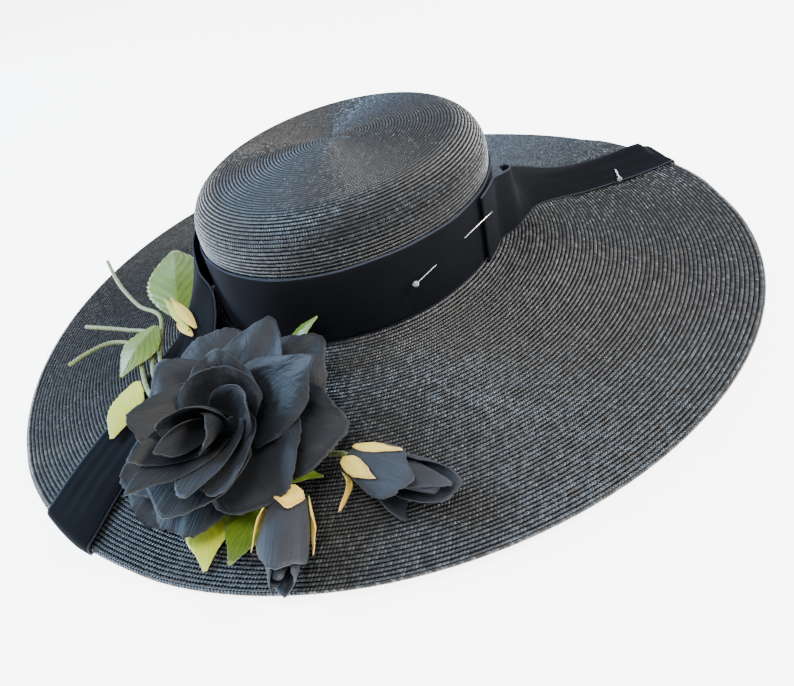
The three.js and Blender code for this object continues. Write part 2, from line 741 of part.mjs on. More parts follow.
// Leaves, from root to tip. `width` is a share of the rose's radius, `bow` lifts the middle and
// `fold` drops the margins, in shares of the leaf's width, and `blunt` rounds the tip.
const LEAVES = [
  {
    name: 'leaf_1', look: 'leaf', width: 0.607, bow: 0.12, fold: 0.12, blunt: 0.9,
    root: at(0.24, -147, 0.237), tip: at(0.39, -175, 1.026),
  },
  {
    name: 'leaf_2', look: 'leaf', width: 0.43, bow: 0.1, fold: 0.1, blunt: 0.1,
    root: at(0.335, -141, 0.72), tip: at(0.55, -134.5, 0.42),
  },
  {
    name: 'leaf_3', look: 'yellowLeaf', width: 0.304, bow: 0.06, fold: 0.06, blunt: 0.4,
    root: at(0.492, -131, 0.289), tip: at(0.69, -120.5, 0.242),
  },
  {
    name: 'leaf_4', look: 'leaf', width: 0.304, bow: 0.1, fold: 0.1, blunt: 0,
    root: at(besideBand(0.64), -93, 0.316), tip: at(besideBand(0.25), -79, 1.158),
  },
  {
    name: 'leaf_5', look: 'yellowLeaf', width: 0.357, bow: 0.02, fold: 0.02, blunt: 0,
    root: at(0.68, -96, 0.074), tip: at(0.95, -91, 0.063),
  },
  {
    name: 'leaf_6', look: 'leaf', width: 0.393, bow: 0.02, fold: 0.03, blunt: 0,
    root: at(0.66, -86.5, 0.179), tip: at(0.93, -88, 0.168),
  },
  {
    name: 'leaf_7', look: 'leaf', width: 0.214, bow: 0.06, fold: 0.05, blunt: 0,
    root: at(0.6, -88.3, 0.311), tip: at(0.62, -78, 0.237),
  },
  {
    name: 'rose_sepal', look: 'sepal', width: 0.116, bow: 0.2, fold: 0.1, blunt: 0,
    root: at(0.17, -128, 0.621), tip: at(0.24, -146, 0.926),
  },
];

// Half width along a leaf with a pointed tip and with a blunt one, as shares of its width
const LEAF_ALONG = [
  { at: 0, half: 0.1, bluntHalf: 0.1 },
  { at: 0.2, half: 0.36, bluntHalf: 0.35 },
  { at: 0.42, half: 0.5, bluntHalf: 0.5 },
  { at: 0.66, half: 0.42, bluntHalf: 0.52 },
  { at: 0.86, half: 0.2, bluntHalf: 0.38 },
  { at: 1, half: 0.04, bluntHalf: 0.1 },
];

function leaf(row) {
  const root = over(row.root);
  const along = over(row.tip).sub(root);
  const side = new THREE.Vector3(along.y, -along.x, 0).normalize();
  const up = side.clone().cross(along).normalize();
  const width = row.width * ROSE_RADIUS;
  const grid = (offset) => [-1, 0, 1].map((u) => LEAF_ALONG.map((section) => {
    const half = mix(section.half, section.bluntHalf, row.blunt);
    const p = root.clone().addScaledVector(along, section.at);
    p.addScaledVector(side, u * half * width);
    const bow = row.bow * width * Math.sin(Math.PI * section.at);
    const fold = row.fold * width * Math.abs(u) * 2 * half;
    return p.addScaledVector(up, bow - fold + offset).toArray();
  }));
  return shell(grid(LEAF / 2), grid(-LEAF / 2));
}

// Wire stems, each wrapped in green. Their cut ends stick out to the left and the other ends
// lie under the rose.
const STEMS = [
  {
    name: 'stem_1',
    path: [
      at(0.98, -180, 0.563), at(0.71, -170, 0.679), at(0.48, -158, 0.568), at(0.32, -146, 0.579),
      at(0.37, -130, 0.326), at(0.41, -113, 0.221), at(0.415, -101.5, 0.189),
    ],
  },
  {
    name: 'stem_2',
    path: [
      at(0.78, -158, 0.532), at(0.52, -151, 0.453), at(0.38, -143, 0.442), at(0.42, -128, 0.311),
      at(0.45, -113, 0.221), at(0.455, -101.5, 0.189),
    ],
  },
  {
    name: 'stem_3',
    path: [
      at(0.79, -146, 0.547), at(0.72, -147, 0.6), at(0.6, -148, 0.537), at(0.48, -144, 0.432),
      at(0.45, -137, 0.389), at(0.47, -126, 0.284), at(0.49, -113, 0.211), at(0.495, -102, 0.189),
    ],
  },
  {
    name: 'bud_1_stem', bud: bud1, layers: BUD_1_LAYERS,
    path: [at(0.53, -91, 0.126), at(0.61, -88, 0.153), at(0.67, -84.5, 0.316)],
  },
  {
    name: 'bud_2_stem', bud: bud2, layers: BUD_2_LAYERS,
    path: [
      at(0.47, -89.5, 0.126), at(0.5, -82, 0.137), at(0.54, -77, 0.289), at(0.57, -74.6, 0.421),
    ],
  },
];
const STEM_OFF_BUD = 2.5 * CLEAR;
const STEM_STEPS = 2;
const STEM_SIDES = 6;

function stem(row) {
  const section = new THREE.Shape();
  for (let k = 0; k < STEM_SIDES; k += 1) {
    const a = (2 * Math.PI * k) / STEM_SIDES;
    const to = [(STEM / 2) * Math.cos(a), (STEM / 2) * Math.sin(a)];
    if (k === 0) section.moveTo(...to);
    else section.lineTo(...to);
  }
  section.closePath();
  const points = row.path.map(over);
  if (row.bud) {
    const foot = row.bud.curve(1 / row.layers, 0).h;
    points.push(new THREE.Vector3(...row.bud.toHat(0, 0, foot - STEM_OFF_BUD)));
  }
  const path = new THREE.CatmullRomCurve3(points);
  return new THREE.ExtrudeGeometry(section, {
    steps: STEM_STEPS * (points.length - 1),
    bevelEnabled: false,
    extrudePath: path,
  });
}

// A steel pin with a round head, and a wider bar along the same line that cuts its way
const PIN_SIDES = 8;
const PIN_POINT = 3 * PIN_WIRE;
const PIN_WAY_PAST = 1;
// Where the wire meets the ball, as a share of the ball's radius
const PIN_NECK = 0.95;

function pinPlaced(geometry, from, to) {
  const way = to.clone().sub(from).normalize();
  geometry.applyQuaternion(new THREE.Quaternion().setFromUnitVectors(new THREE.Vector3(0, 1, 0), way));
  return geometry.translate(from.x, from.y, from.z);
}

function pin(from, to, length) {
  const wire = PIN_WIRE / 2;
  const head = PIN_HEAD / 2;
  const slant = head * Math.SQRT1_2;
  const ball = [[0, -head], [slant, -slant], [head, 0], [slant, slant]];
  const outline = [...ball, [wire, PIN_NECK * head], [wire, length - PIN_POINT], [0, length]];
  const lathe = new THREE.LatheGeometry(outline.map((p) => new THREE.Vector2(...p)), PIN_SIDES);
  return pinPlaced(lathe, from, to);
}

function pinWay(from, to, length) {
  const bore = PIN_WIRE / 2 + CLEAR;
  const start = PIN_HEAD / 2 + CLEAR;
  const outline = [[0, start], [bore, start], [bore, length], [0, length]];
  const lathe = new THREE.LatheGeometry(outline.map((p) => new THREE.Vector2(...p)), PIN_SIDES);
  return pinPlaced(lathe, from, to);
}

function solid(geometry) {
  const plain = geometry.clone();
  for (const name of ['normal', 'uv']) if (plain.hasAttribute(name)) plain.deleteAttribute(name);
  const merged = mergeVertices(plain, 1e-4);
  return new wasm.Manifold(new wasm.Mesh({
    numProp: 3,
    vertProperties: new Float32Array(merged.attributes.position.array),
    triVerts: new Uint32Array(merged.index.array),
  }));
}

function cut(geometry, tool) {
  const mesh = solid(geometry).subtract(solid(tool)).getMesh();
  const result = new THREE.BufferGeometry();
  result.setAttribute('position', new THREE.BufferAttribute(new Float32Array(mesh.vertProperties), 3));
  result.setIndex([...mesh.triVerts]);
  return result;
}

// The band's pin dips under the velvet and comes out again further round
const PIN_IN = { bearing: -40, up: 0.52 };
const PIN_OUT = { bearing: -19, up: 0.62 };
const PIN_HEAD_OUT = 0.32;

function bandPinLine() {
  const on = (row) => wallPoint(row.bearing, BAND_OUT, BAND_FOOT + row.up * RIBBON_WIDTH);
  const inside = new THREE.Vector3(...on(PIN_IN));
  const outside = new THREE.Vector3(...on(PIN_OUT));
  const way = outside.clone().sub(inside);
  return [inside.clone().addScaledVector(way, -PIN_HEAD_OUT), outside];
}

// The back end's pin lies across the ribbon near the brim's edge and passes under its hump
const TAIL_PIN_LIFT = 3.4;
const TAIL_PIN_FROM = { along: 0.858, across: -0.04 };
const TAIL_PIN_TO = { along: 0.938, across: 1.02 };

function tailPinLine(grid) {
  const spot = ({ along, across }) => {
    const k = along * 2 * (BACK_TAIL.length - 1);
    const row = Math.floor(k);
    const edge = (index) => new THREE.Vector3().lerpVectors(
      new THREE.Vector3(...grid.inner[row][index]),
      new THREE.Vector3(...grid.inner[row + 1][index]),
      k - row,
    );
    const p = edge(0).lerp(edge(ACROSS.length - 1), across);
    return p.setZ(topAt(p.x, p.y) + TAIL_PIN_LIFT);
  };
  return [spot(TAIL_PIN_FROM), spot(TAIL_PIN_TO)];
}

const bandPin = bandPinLine();
const bandPinWay = pinWay(...bandPin, BAND_PIN_LENGTH + PIN_WAY_PAST);
const backTail = tailGrid(BACK_TAIL);
const frontTail = tailGrid(FRONT_TAIL);
const tailPin = tailPinLine(backTail);
const tailPinWay = pinWay(...tailPin, TAIL_PIN_LENGTH + PIN_WAY_PAST);

add('brim', makeBrim(), 'straw');
add('crown', cut(makeCrown(), bandPinWay), 'straw');
add('ribbon_band', cut(makeBand(), bandPinWay), 'velvet');
add('ribbon_tail_front', shell(frontTail.outer, frontTail.inner), 'velvet');
const backRibbon = cut(shell(backTail.outer, backTail.inner), bandPinWay);
add('ribbon_tail_back', cut(backRibbon, tailPinWay), 'velvet');
add('band_pin', pin(...bandPin, BAND_PIN_LENGTH), 'steel');
add('tail_pin', pin(...tailPin, TAIL_PIN_LENGTH), 'steel');
addRose();
const bud1Size = { length: BUD_1_LENGTH, width: BUD_1_WIDTH, layers: BUD_1_LAYERS };
const bud2Size = { length: BUD_2_LENGTH, width: BUD_2_WIDTH, layers: BUD_2_LAYERS };
addBud('bud_1', bud1, bud1Size, BUD_1_PETALS, BUD_1_SEPALS);
addBud('bud_2', bud2, bud2Size, BUD_2_PETALS, BUD_2_SEPALS);
for (const row of LEAVES) add(row.name, leaf(row), row.look);
for (const row of STEMS) add(row.name, stem(row), 'stem');

export default hat;
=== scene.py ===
"""Looks of a wide black straw picture hat with a pinned velvet ribbon and a spray of silk flowers.

Sizes are in millimetres and bearings in degrees, seen from above and counted from +X. The hat's
front is towards -Y, and its pieces are put into the frame's metres as they are made.
"""

import logging
import random
from dataclasses import dataclass, field
from enum import Enum
from functools import partial
from math import atan2, cos, degrees, floor, hypot, pi, radians, sin, sqrt, tan
from typing import Callable, Sequence

import bmesh
import bpy
from mathutils import Matrix, Quaternion, Vector


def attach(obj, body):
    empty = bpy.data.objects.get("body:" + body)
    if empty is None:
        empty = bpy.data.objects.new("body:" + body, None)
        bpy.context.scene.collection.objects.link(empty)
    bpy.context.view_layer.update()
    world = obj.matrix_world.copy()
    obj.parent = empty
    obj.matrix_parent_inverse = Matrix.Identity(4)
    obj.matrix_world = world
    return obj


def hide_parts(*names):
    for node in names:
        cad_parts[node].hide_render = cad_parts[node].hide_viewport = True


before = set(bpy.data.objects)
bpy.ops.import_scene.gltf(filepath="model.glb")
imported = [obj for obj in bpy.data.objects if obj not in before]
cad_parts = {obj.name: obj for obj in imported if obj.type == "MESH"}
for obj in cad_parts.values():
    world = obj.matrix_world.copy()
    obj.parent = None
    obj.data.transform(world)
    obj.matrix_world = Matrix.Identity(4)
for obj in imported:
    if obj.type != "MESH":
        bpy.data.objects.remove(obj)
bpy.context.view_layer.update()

LOG = logging.getLogger("picture_hat")
MM = 0.001
BODY = "root"
# The room between pieces, how far the band's outside stands off the crown, and the flowers' cloth
CLEAR = 0.3
BAND_OUT = 1.5
CLOTH_MM = 0.4
# The leaves and the stems take their sizes and lifts from the rose, as in the hat's source
ROSE_RADIUS = 56.0
ROSE_DEPTH = 19.0
CORE_SIDES = 28
# How near two corners are to be one, the step for a curve's heading, and a map's room in a row
MERGE_M = 2e-6
NUDGE = 0.004
ROW_IN = 0.001
Place = Callable[[float, float], Vector]
Piece = bpy.types.Object


def mix(a: float, b: float, t: float) -> float:
    """Returns the value a share t of the way from a to b."""
    return a + (b - a) * t


def clamp(x: float, low: float = 0.0, high: float = 1.0) -> float:
    """Returns x held between low and high."""
    return min(high, max(low, x))


def smooth(x: float) -> float:
    """Returns an S-shaped step from 0 to 1 as x goes from 0 to 1."""
    t = clamp(x)
    return t * t * (3 - 2 * t)


def column(table: Sequence[tuple], share: float, which: int = 1) -> float:
    """Reads a column of a table between its rows.

    Args:
        table: rows whose first value is where they stand.
        share: where to read.
        which: the column that is read.

    Returns:
        The value, straight-lined between the two nearest rows.
    """
    k = 0
    while k < len(table) - 2 and share > table[k + 1][0]:
        k += 1
    a, b = table[k], table[k + 1]
    return mix(a[which], b[which], clamp((share - a[0]) / (b[0] - a[0])))


@dataclass
class Path:
    """A smooth curve through points, centripetal as in the hat's source."""

    points: list

    def at(self, t: float) -> Vector:
        """Returns the point a share t of the way along, each span counting alike."""
        last = len(self.points) - 1
        spot = clamp(t) * last
        k = min(int(spot), last - 1)
        p1, p2 = self.points[k], self.points[k + 1]
        p0 = self.points[k - 1] if k > 0 else 2 * p1 - p2
        p3 = self.points[k + 2] if k + 2 <= last else 2 * p2 - p1
        d1 = sqrt((p2 - p1).length) or 1.0
        d0 = sqrt((p1 - p0).length) or d1
        d2 = sqrt((p3 - p2).length) or d1
        m1 = ((p1 - p0) / d0 - (p2 - p0) / (d0 + d1) + (p2 - p1) / d1) * d1
        m2 = ((p2 - p1) / d1 - (p3 - p1) / (d1 + d2) + (p3 - p2) / d2) * d1
        w = spot - k
        bend = -3 * p1 + 3 * p2 - 2 * m1 - m2
        return p1 + m1 * w + bend * w * w + (2 * p1 - 2 * p2 + m1 + m2) * w**3

    def heading(self, t: float) -> Vector:
        """Returns the unit direction of the curve at a share t."""
        return (self.at(t + NUDGE) - self.at(t - NUDGE)).normalized()


def in_row(at: float, row: int) -> float:
    """Returns a count of rows that is kept inside one row."""
    return clamp(at, row + ROW_IN, row + 1 - ROW_IN)


def formed(
    name: str, cells: tuple, place: Place, uv: Callable | None = None, wall: float = 0.0,
) -> Piece:
    """Makes a piece by laying a fine grid over a surface.

    Args:
        name: the piece's name.
        cells: how many cells the grid has across and along.
        place: gives the point in mm for the grid's two shares, each from 0 to 1.
        uv: gives the texture point for two shares and the middle of the cell, or None for the shares.
        wall: thickness in mm that is given to both sides of the surface.

    Returns:
        The new object, in the frame's metres.
    """
    bm = bmesh.new()
    layer = bm.loops.layers.uv.new("UVMap")
    bmesh.ops.create_grid(bm, x_segments=cells[0], y_segments=cells[1], size=0.5)
    for face in bm.faces:
        middle = face.calc_center_median()
        for loop in face.loops:
            u, v = loop.vert.co.x + 0.5, loop.vert.co.y + 0.5
            loop[layer].uv = uv(u, v, middle.x + 0.5, middle.y + 0.5) if uv else (u, v)
        face.smooth = True
    for vert in bm.verts:
        vert.co = place(clamp(vert.co.x + 0.5), clamp(vert.co.y + 0.5)) * MM
    bmesh.ops.remove_doubles(bm, verts=bm.verts, dist=MERGE_M)
    closed = not any(edge.is_boundary for edge in bm.edges)
    if closed:
        bmesh.ops.recalc_face_normals(bm, faces=bm.faces)
    mesh = bpy.data.meshes.new(name)
    bm.to_mesh(mesh)
    bm.free()
    piece = bpy.data.objects.new(name, mesh)
    bpy.context.scene.collection.objects.link(piece)
    if wall:
        solid = piece.modifiers.new("wall", "SOLIDIFY")
        solid.thickness = wall * MM
        solid.offset = 0.0
    return piece


def turned(name: str, sides: int, profile: list, place: Callable) -> Piece:
    """Makes a piece by turning a profile round a line.

    Args:
        name: the piece's name.
        sides: how many sides it has.
        profile: its radii and heights in mm, from end to end.
        place: gives the point in mm for a radius, an angle and a height.

    Returns:
        The new object, in the frame's metres.
    """
    rows = len(profile) - 1

    def lay(u: float, v: float) -> Vector:
        """Returns the point at a share round the line and along the profile."""
        r, h = profile[round(v * rows)]
        return place(r, 2 * pi * u, h)

    return formed(name, (sides, rows), lay)


def linear(code: str) -> tuple:
    """Returns the linear RGBA of an sRGB colour such as #20242a."""
    parts = [int(code[k:k + 2], 16) / 255 for k in (1, 3, 5)]
    return (*[c / 12.92 if c <= 0.04045 else ((c + 0.055) / 1.055) ** 2.4 for c in parts], 1.0)


def fineness(size_mm: float) -> float:
    """Returns the scale that gives a pattern a size in mm."""
    return 1 / (size_mm * MM)


def feed(made: bpy.types.Node, inputs: dict) -> None:
    """Fills inputs of a node.

    Args:
        made: the node.
        inputs: a value, an output or a node, for its first output, by the input's name or number.
    """
    for key, value in inputs.items():
        if isinstance(value, bpy.types.Node):
            value = value.outputs[0]
        if isinstance(value, bpy.types.NodeSocket):
            made.id_data.links.new(value, made.inputs[key])
        else:
            made.inputs[key].default_value = value


def node(
    tree: bpy.types.NodeTree, kind: str, inputs: Sequence | dict = (), operation: str = "", **settings,
) -> bpy.types.Node:
    """Adds a node to a material.

    Args:
        tree: the material's nodes.
        kind: the node's type, without the words that all of them start with.
        inputs: what goes in, in the inputs' order, or by their names or numbers.
        operation: what it works out, if it has a choice of operations.
        settings: the node's other settings.

    Returns:
        The new node.
    """
    made = tree.nodes.new("ShaderNode" + kind)
    if operation:
        made.operation = operation
    for key, value in settings.items():
        setattr(made, key, value)
    feed(made, inputs if isinstance(inputs, dict) else dict(enumerate(inputs)))
    return made


def blank(name: str) -> tuple:
    """Returns a new material, its main shader, its coordinates and what adds a node to it."""
    made = bpy.data.materials.new(name)
    made.use_nodes = True
    add = partial(node, made.node_tree)
    return made, made.node_tree.nodes["Principled BSDF"], add("TexCoord"), add


@dataclass(frozen=True)
class LacqueredBraid:
    """Fine straw braid, dyed black and lacquered, with painted shade in the grooves between its rows and a
    painted glint in a few plaits' colour besides their gloss.
    """

    name: str = "lacquered_straw_braid"
    # Painted shade: the near-black colour of the grooves between rows
    gap: str = "#020202"
    dark: str = "#131517"
    # The lighter plaits' colour: partly the straw's random tone, partly a painted glint
    tone_and_glint: str = "#4a4c4e"
    roughness: tuple = (0.26, 0.44)
    relief_mm: float = 0.5
    ior: float = 1.54
    # How the plait slants across a row, and where across it the painted groove shade ends
    slant: float = 1.1
    groove_shade_ends: tuple = (0.08, 0.5)
    # The least and the further height and shine of a plait, and how few plaits get the lighter colour, partly
    # random tone and partly a painted glint
    swell: tuple = (0.25, 0.7)
    shine: tuple = (0.5, 0.4)
    rarity: float = 2.2

    def material(self) -> bpy.types.Material:
        """Returns the material. Its map counts plaits along a row, and rows across."""
        made, shader, spot, add = blank(self.name)
        parts = add("SeparateXYZ", (spot.outputs["UV"],))
        row = add("Math", (parts.outputs[1],), "FRACT")
        side = add("Math", (row, 0.5), "SUBTRACT")
        off = add("Math", (side,), "ABSOLUTE")
        slant = add("Math", (off, self.slant, parts), "MULTIPLY_ADD")
        turn = add("Math", (slant, 2 * pi), "MULTIPLY")
        strand = add("Math", (turn,), "SINE")
        plait = add("Math", (slant,), "FLOOR")
        line = add("Math", (parts.outputs[1],), "FLOOR")
        cell = add("CombineXYZ", (plait, line))
        chance = add("TexWhiteNoise", (cell,), noise_dimensions="3D")
        crest = add("Math", (off, -2.0, 1.0), "MULTIPLY_ADD")
        low, high = self.groove_shade_ends
        # 0 in the painted groove shade between rows, 1 on a row's top; it also takes the groove's gloss away
        body = add("MapRange", {"Value": crest, 1: low, 2: high}, interpolation_type="SMOOTHSTEP")
        least, more = self.swell
        swell = add("Math", (chance.outputs["Value"], more, least), "MULTIPLY_ADD")
        weave = add("Math", (strand, swell, 1.0), "MULTIPLY_ADD")
        height = add("Math", (weave, crest), "MULTIPLY")
        bump = add("Bump", {"Strength": 0.85, "Distance": self.relief_mm * MM, "Height": height})
        smoothest, roughest = self.roughness
        rough = add("MapRange", {"Value": chance.outputs["Value"], 3: roughest, 4: smoothest})
        # Picks the few plaits with the lighter colour, partly random tone and partly a painted glint; it also
        # raises their gloss
        lit = add("Math", (chance.outputs["Value"], self.rarity), "POWER")
        straw = add("Mix", {0: lit, 6: linear(self.dark), 7: linear(self.tone_and_glint)}, data_type="RGBA")
        # Painted shade: the grooves between rows take the gap colour
        colour = add("Mix", {0: body, 6: linear(self.gap), 7: straw.outputs[2]}, data_type="RGBA")
        least, more = self.shine
        shine = add("Math", (lit, more, least), "MULTIPLY_ADD")
        gloss = add("Math", (body, shine), "MULTIPLY")
        feed(shader, {
            "Base Color": colour.outputs[2], "Roughness": rough, "Specular IOR Level": gloss,
            "Normal": bump, "IOR": self.ior,
        })
        return made


@dataclass(frozen=True)
class RibbonVelvet:
    """Silk velvet ribbon: its pile swallows light and glows a little at a slant, its selvedge is plain."""

    pile: str = "#050609"
    brushed: str = "#0b0d12"
    selvedge: str = "#343943"
    glow: str = "#5d6480"
    selvedge_share: float = 0.02
    # The pile is drawn coarser than real, so that it shows
    pile_mm: float = 0.9
    brush_mm: float = 18.18

    def material(self) -> bpy.types.Material:
        """Returns the material. The map's second value runs across the ribbon from 0 to 1."""
        made, shader, spot, add = blank("silk_velvet")
        parts = add("SeparateXYZ", (spot.outputs["UV"],))
        near = add("Math", (parts.outputs[1], 0.5), "SUBTRACT")
        off = add("Math", (near,), "ABSOLUTE")
        edge = add("Math", (off, 0.5 - self.selvedge_share), "GREATER_THAN")
        hairs, strokes = fineness(self.pile_mm), fineness(self.brush_mm)
        pile = add("TexNoise", {"Vector": spot.outputs["Object"], "Scale": hairs, "Detail": 3.0})
        brush = add("TexNoise", {"Vector": spot.outputs["Object"], "Scale": strokes, "Detail": 2.0})
        shade = add("Mix", {0: brush, 6: linear(self.pile), 7: linear(self.brushed)}, data_type="RGBA")
        colour = add("Mix", {0: edge, 6: shade.outputs[2], 7: linear(self.selvedge)}, data_type="RGBA")
        bump = add("Bump", {"Strength": 0.25, "Distance": 0.0002, "Height": pile})
        feed(shader, {
            "Base Color": colour.outputs[2], "Normal": bump, "Roughness": 0.95, "Specular IOR Level": 0.12,
            "Sheen Weight": 0.12, "Sheen Roughness": 0.4, "Sheen Tint": linear(self.glow),
        })
        return made


@dataclass(frozen=True)
class PressedCloth:
    """Thin cloth, starched and pressed over a hot form: veined or creased, with a cut edge."""

    name: str
    deep: str
    light: str
    edge: str
    edge_share: float = 0.05
    roughness: float = 0.5
    veins: float = 0.0
    sheen: float = 0.0
    coat: float = 0.0
    tip: str = ""
    crumple: float = 0.0
    gloss: float = 0.4
    # Clouds of dye, the weave's grain, drawn coarser than real so that it shows, and crumples
    cloud_mm: float = 16.67
    grain_mm: float = 0.625
    crumple_mm: float = 25
    # How many creases run across and along a petal
    creases: tuple = (9.0, 2.4, 1.0)
    # Where the tip's tone starts and ends, how the veins lean, and half the middle rib's width
    tip_from: tuple = (0.72, 1.05)
    vein_lean: float = 0.9
    rib: float = 0.014
    vein_tone: float = 0.22

    def material(self) -> bpy.types.Material:
        """Returns the material. The map runs across the piece, and from its root to its tip."""
        made, shader, spot, add = blank(self.name)
        parts = add("SeparateXYZ", (spot.outputs["UV"],))
        side = add("Math", (parts, 0.5), "SUBTRACT")
        off = add("Math", (side,), "ABSOLUTE")
        cloud = add("TexNoise", {
            "Vector": spot.outputs["Object"], "Scale": fineness(self.cloud_mm), "Detail": 4.0,
            "Roughness": 0.6,
        })
        threads = fineness(self.grain_mm)
        grain = add("TexNoise", {"Vector": spot.outputs["Object"], "Scale": threads, "Detail": 1.0})
        body = add("Mix", {0: cloud, 6: linear(self.deep), 7: linear(self.light)}, data_type="RGBA")
        root = parts.outputs[1]
        if self.tip:
            far = add("MapRange", {"Value": root, 1: self.tip_from[0], 2: self.tip_from[1]})
            body = add("Mix", {0: far, 6: body.outputs[2], 7: linear(self.tip)}, data_type="RGBA")
        end = add("Math", (root, 1 - self.edge_share), "GREATER_THAN")
        rim = add("Math", (off, 0.5 - self.edge_share / 2), "GREATER_THAN")
        cut = add("Math", (end, rim), "MAXIMUM")
        soft = add("Math", (cut, grain), "MULTIPLY")
        colour = add("Mix", {0: soft, 6: body.outputs[2], 7: linear(self.edge)}, data_type="RGBA")
        relief = add("Math", (grain, 0.12, cloud), "MULTIPLY_ADD")
        if self.veins:
            lean = add("Math", (off, -self.vein_lean, root), "MULTIPLY_ADD")
            turn = add("Math", (lean, 2 * pi * self.veins), "MULTIPLY")
            wave = add("Math", (turn,), "SINE")
            ridge = add("Math", (wave, 0.9), "GREATER_THAN")
            mid = add("Math", (off, self.rib), "LESS_THAN")
            rib = add("Math", (ridge, mid), "MAXIMUM")
            part = add("Math", (rib, self.vein_tone), "MULTIPLY")
            colour = add("Mix", {0: part, 6: colour.outputs[2], 7: linear(self.edge)}, data_type="RGBA")
            relief = add("Math", (wave, 0.1, relief), "MULTIPLY_ADD")
        if self.crumple:
            stretch = add("VectorMath", (spot.outputs["UV"], self.creases), "MULTIPLY")
            cloth = (spot.outputs["Object"], 3 * (fineness(self.crumple_mm),), stretch)
            spread = add("VectorMath", cloth, "MULTIPLY_ADD")
            bent = add("TexNoise", {
                "Vector": spread, "Scale": 1.0, "Detail": 4.0, "Roughness": 0.55, "Distortion": 0.5,
            })
            side = add("Math", (bent, 0.5), "SUBTRACT")
            ridged = add("Math", (side,), "ABSOLUTE")
            relief = add("Math", (ridged, -3.0 * self.crumple, relief), "MULTIPLY_ADD")
        bump = add("Bump", {"Strength": 0.5, "Distance": 0.0008, "Height": relief})
        feed(shader, {
            "Base Color": colour.outputs[2], "Normal": bump, "Roughness": self.roughness,
            "Sheen Weight": self.sheen, "Sheen Roughness": 0.35, "Specular IOR Level": self.gloss,
            "Coat Weight": self.coat, "Coat Roughness": 0.3,
        })
        return made


@dataclass(frozen=True)
class CrepeWrap:
    """Wire stem wound with a narrow strip of waxed crepe paper, so its turns show as slant ridges."""

    pale: str = "#a3ab7c"
    deep: str = "#6d7a4c"
    turn_mm: float = 3.4
    fleck_mm: float = 2.0

    def material(self) -> bpy.types.Material:
        """Returns the material. The map counts turns of the strip along the stem."""
        made, shader, spot, add = blank("waxed_crepe_wrap")
        parts = add("SeparateXYZ", (spot.outputs["UV"],))
        wind = add("Math", (parts, parts.outputs[1]), "ADD")
        lap = add("Math", (wind,), "FRACT")
        flecks = fineness(self.fleck_mm)
        fleck = add("TexNoise", {"Vector": spot.outputs["Object"], "Scale": flecks, "Detail": 3.0})
        tone = add("Math", (lap, fleck), "MULTIPLY")
        colour = add("Mix", {0: tone, 6: linear(self.deep), 7: linear(self.pale)}, data_type="RGBA")
        relief = add("Math", (fleck, 0.5, lap), "MULTIPLY_ADD")
        bump = add("Bump", {"Strength": 0.5, "Distance": 0.0004, "Height": relief})
        feed(shader, {"Base Color": colour.outputs[2], "Normal": bump, "Roughness": 0.55})
        return made


@dataclass(frozen=True)
class DrawnSteel:
    """Nickel-plated steel wire, drawn and polished."""

    tone: str = "#d3d5d6"
    scratch_mm: float = 1.111
    roughness: tuple = (0.14, 0.3)

    def material(self) -> bpy.types.Material:
        """Returns the material."""
        made, shader, spot, add = blank("nickel_plated_steel")
        scale = fineness(self.scratch_mm)
        scratch = add("TexNoise", {"Vector": spot.outputs["Object"], "Scale": scale})
        rough = add("MapRange", {"Value": scratch, 3: self.roughness[0], 4: self.roughness[1]})
        feed(shader, {"Roughness": rough, "Base Color": linear(self.tone), "Metallic": 1.0})
        return made


@dataclass(frozen=True)
class LampGlass:
    """Clear lamp-worked glass of a pin's head, with a few seeds in it."""

    tone: str = "#e6eaee"
    seed_mm: float = 1.4286
    roughness: tuple = (0.02, 0.12)

    def material(self) -> bpy.types.Material:
        """Returns the material."""
        made, shader, spot, add = blank("lampwork_glass")
        seed = add("TexNoise", {"Vector": spot.outputs["Object"], "Scale": fineness(self.seed_mm)})
        rough = add("MapRange", {"Value": seed, 3: self.roughness[0], 4: self.roughness[1]})
        feed(shader, {
            "Roughness": rough, "Base Color": linear(self.tone), "Transmission Weight": 0.7, "IOR": 1.5,
        })
        return made


class Finish(Enum):
    """The hat's finishes, each with what makes it and the record's slot that it belongs to."""

    STRAW = (LacqueredBraid(), "straw_braid")
    # Painted shade: the crown wears a darker copy of the brim's straw, the same braid in the record's slot
    SHADED_CROWN_STRAW = (
        LacqueredBraid(name="shaded_crown_braid", dark="#090b0e", tone_and_glint="#252a30"),
        "straw_braid",
    )
    VELVET = (RibbonVelvet(), "velvet")
    PETAL = (
        PressedCloth(
            "satin_petal", "#07080b", "#191d23", "#2a3038",
            edge_share=0.008, roughness=0.62, sheen=0.05, crumple=1.0,
        ),
        "petal_silk",
    )
    # Painted light: the buds' finish is a lighter copy of the rose's petal silk, the same silk in the
    # record's slot
    BUD = (
        PressedCloth(
            "lit_satin_bud", "#15181d", "#343941", "#3d434c",
            edge_share=0.008, roughness=0.62, sheen=0.1, crumple=1.0,
        ),
        "petal_silk",
    )
    LEAF = (
        PressedCloth("glazed_leaf", "#2f4a0e", "#7f9c2c", "#a9b25a", roughness=0.38, veins=7, coat=0.3),
        "leaf_cloth",
    )
    PALE_LEAF = (
        PressedCloth("glazed_pale_leaf", "#a2b01c", "#dfe44c", "#e4e070", roughness=0.38, veins=6, coat=0.35),
        "leaf_cloth_pale",
    )
    SEPAL = (
        PressedCloth("starched_sepal", "#e4be3e", "#fbe074", "#f8e39a", roughness=0.6, tip="#d99428"),
        "sepal_cloth",
    )
    STEM = (CrepeWrap(), "stem_wrap")
    STEEL = (DrawnSteel(), "steel")
    GLASS = (LampGlass(), "steel")


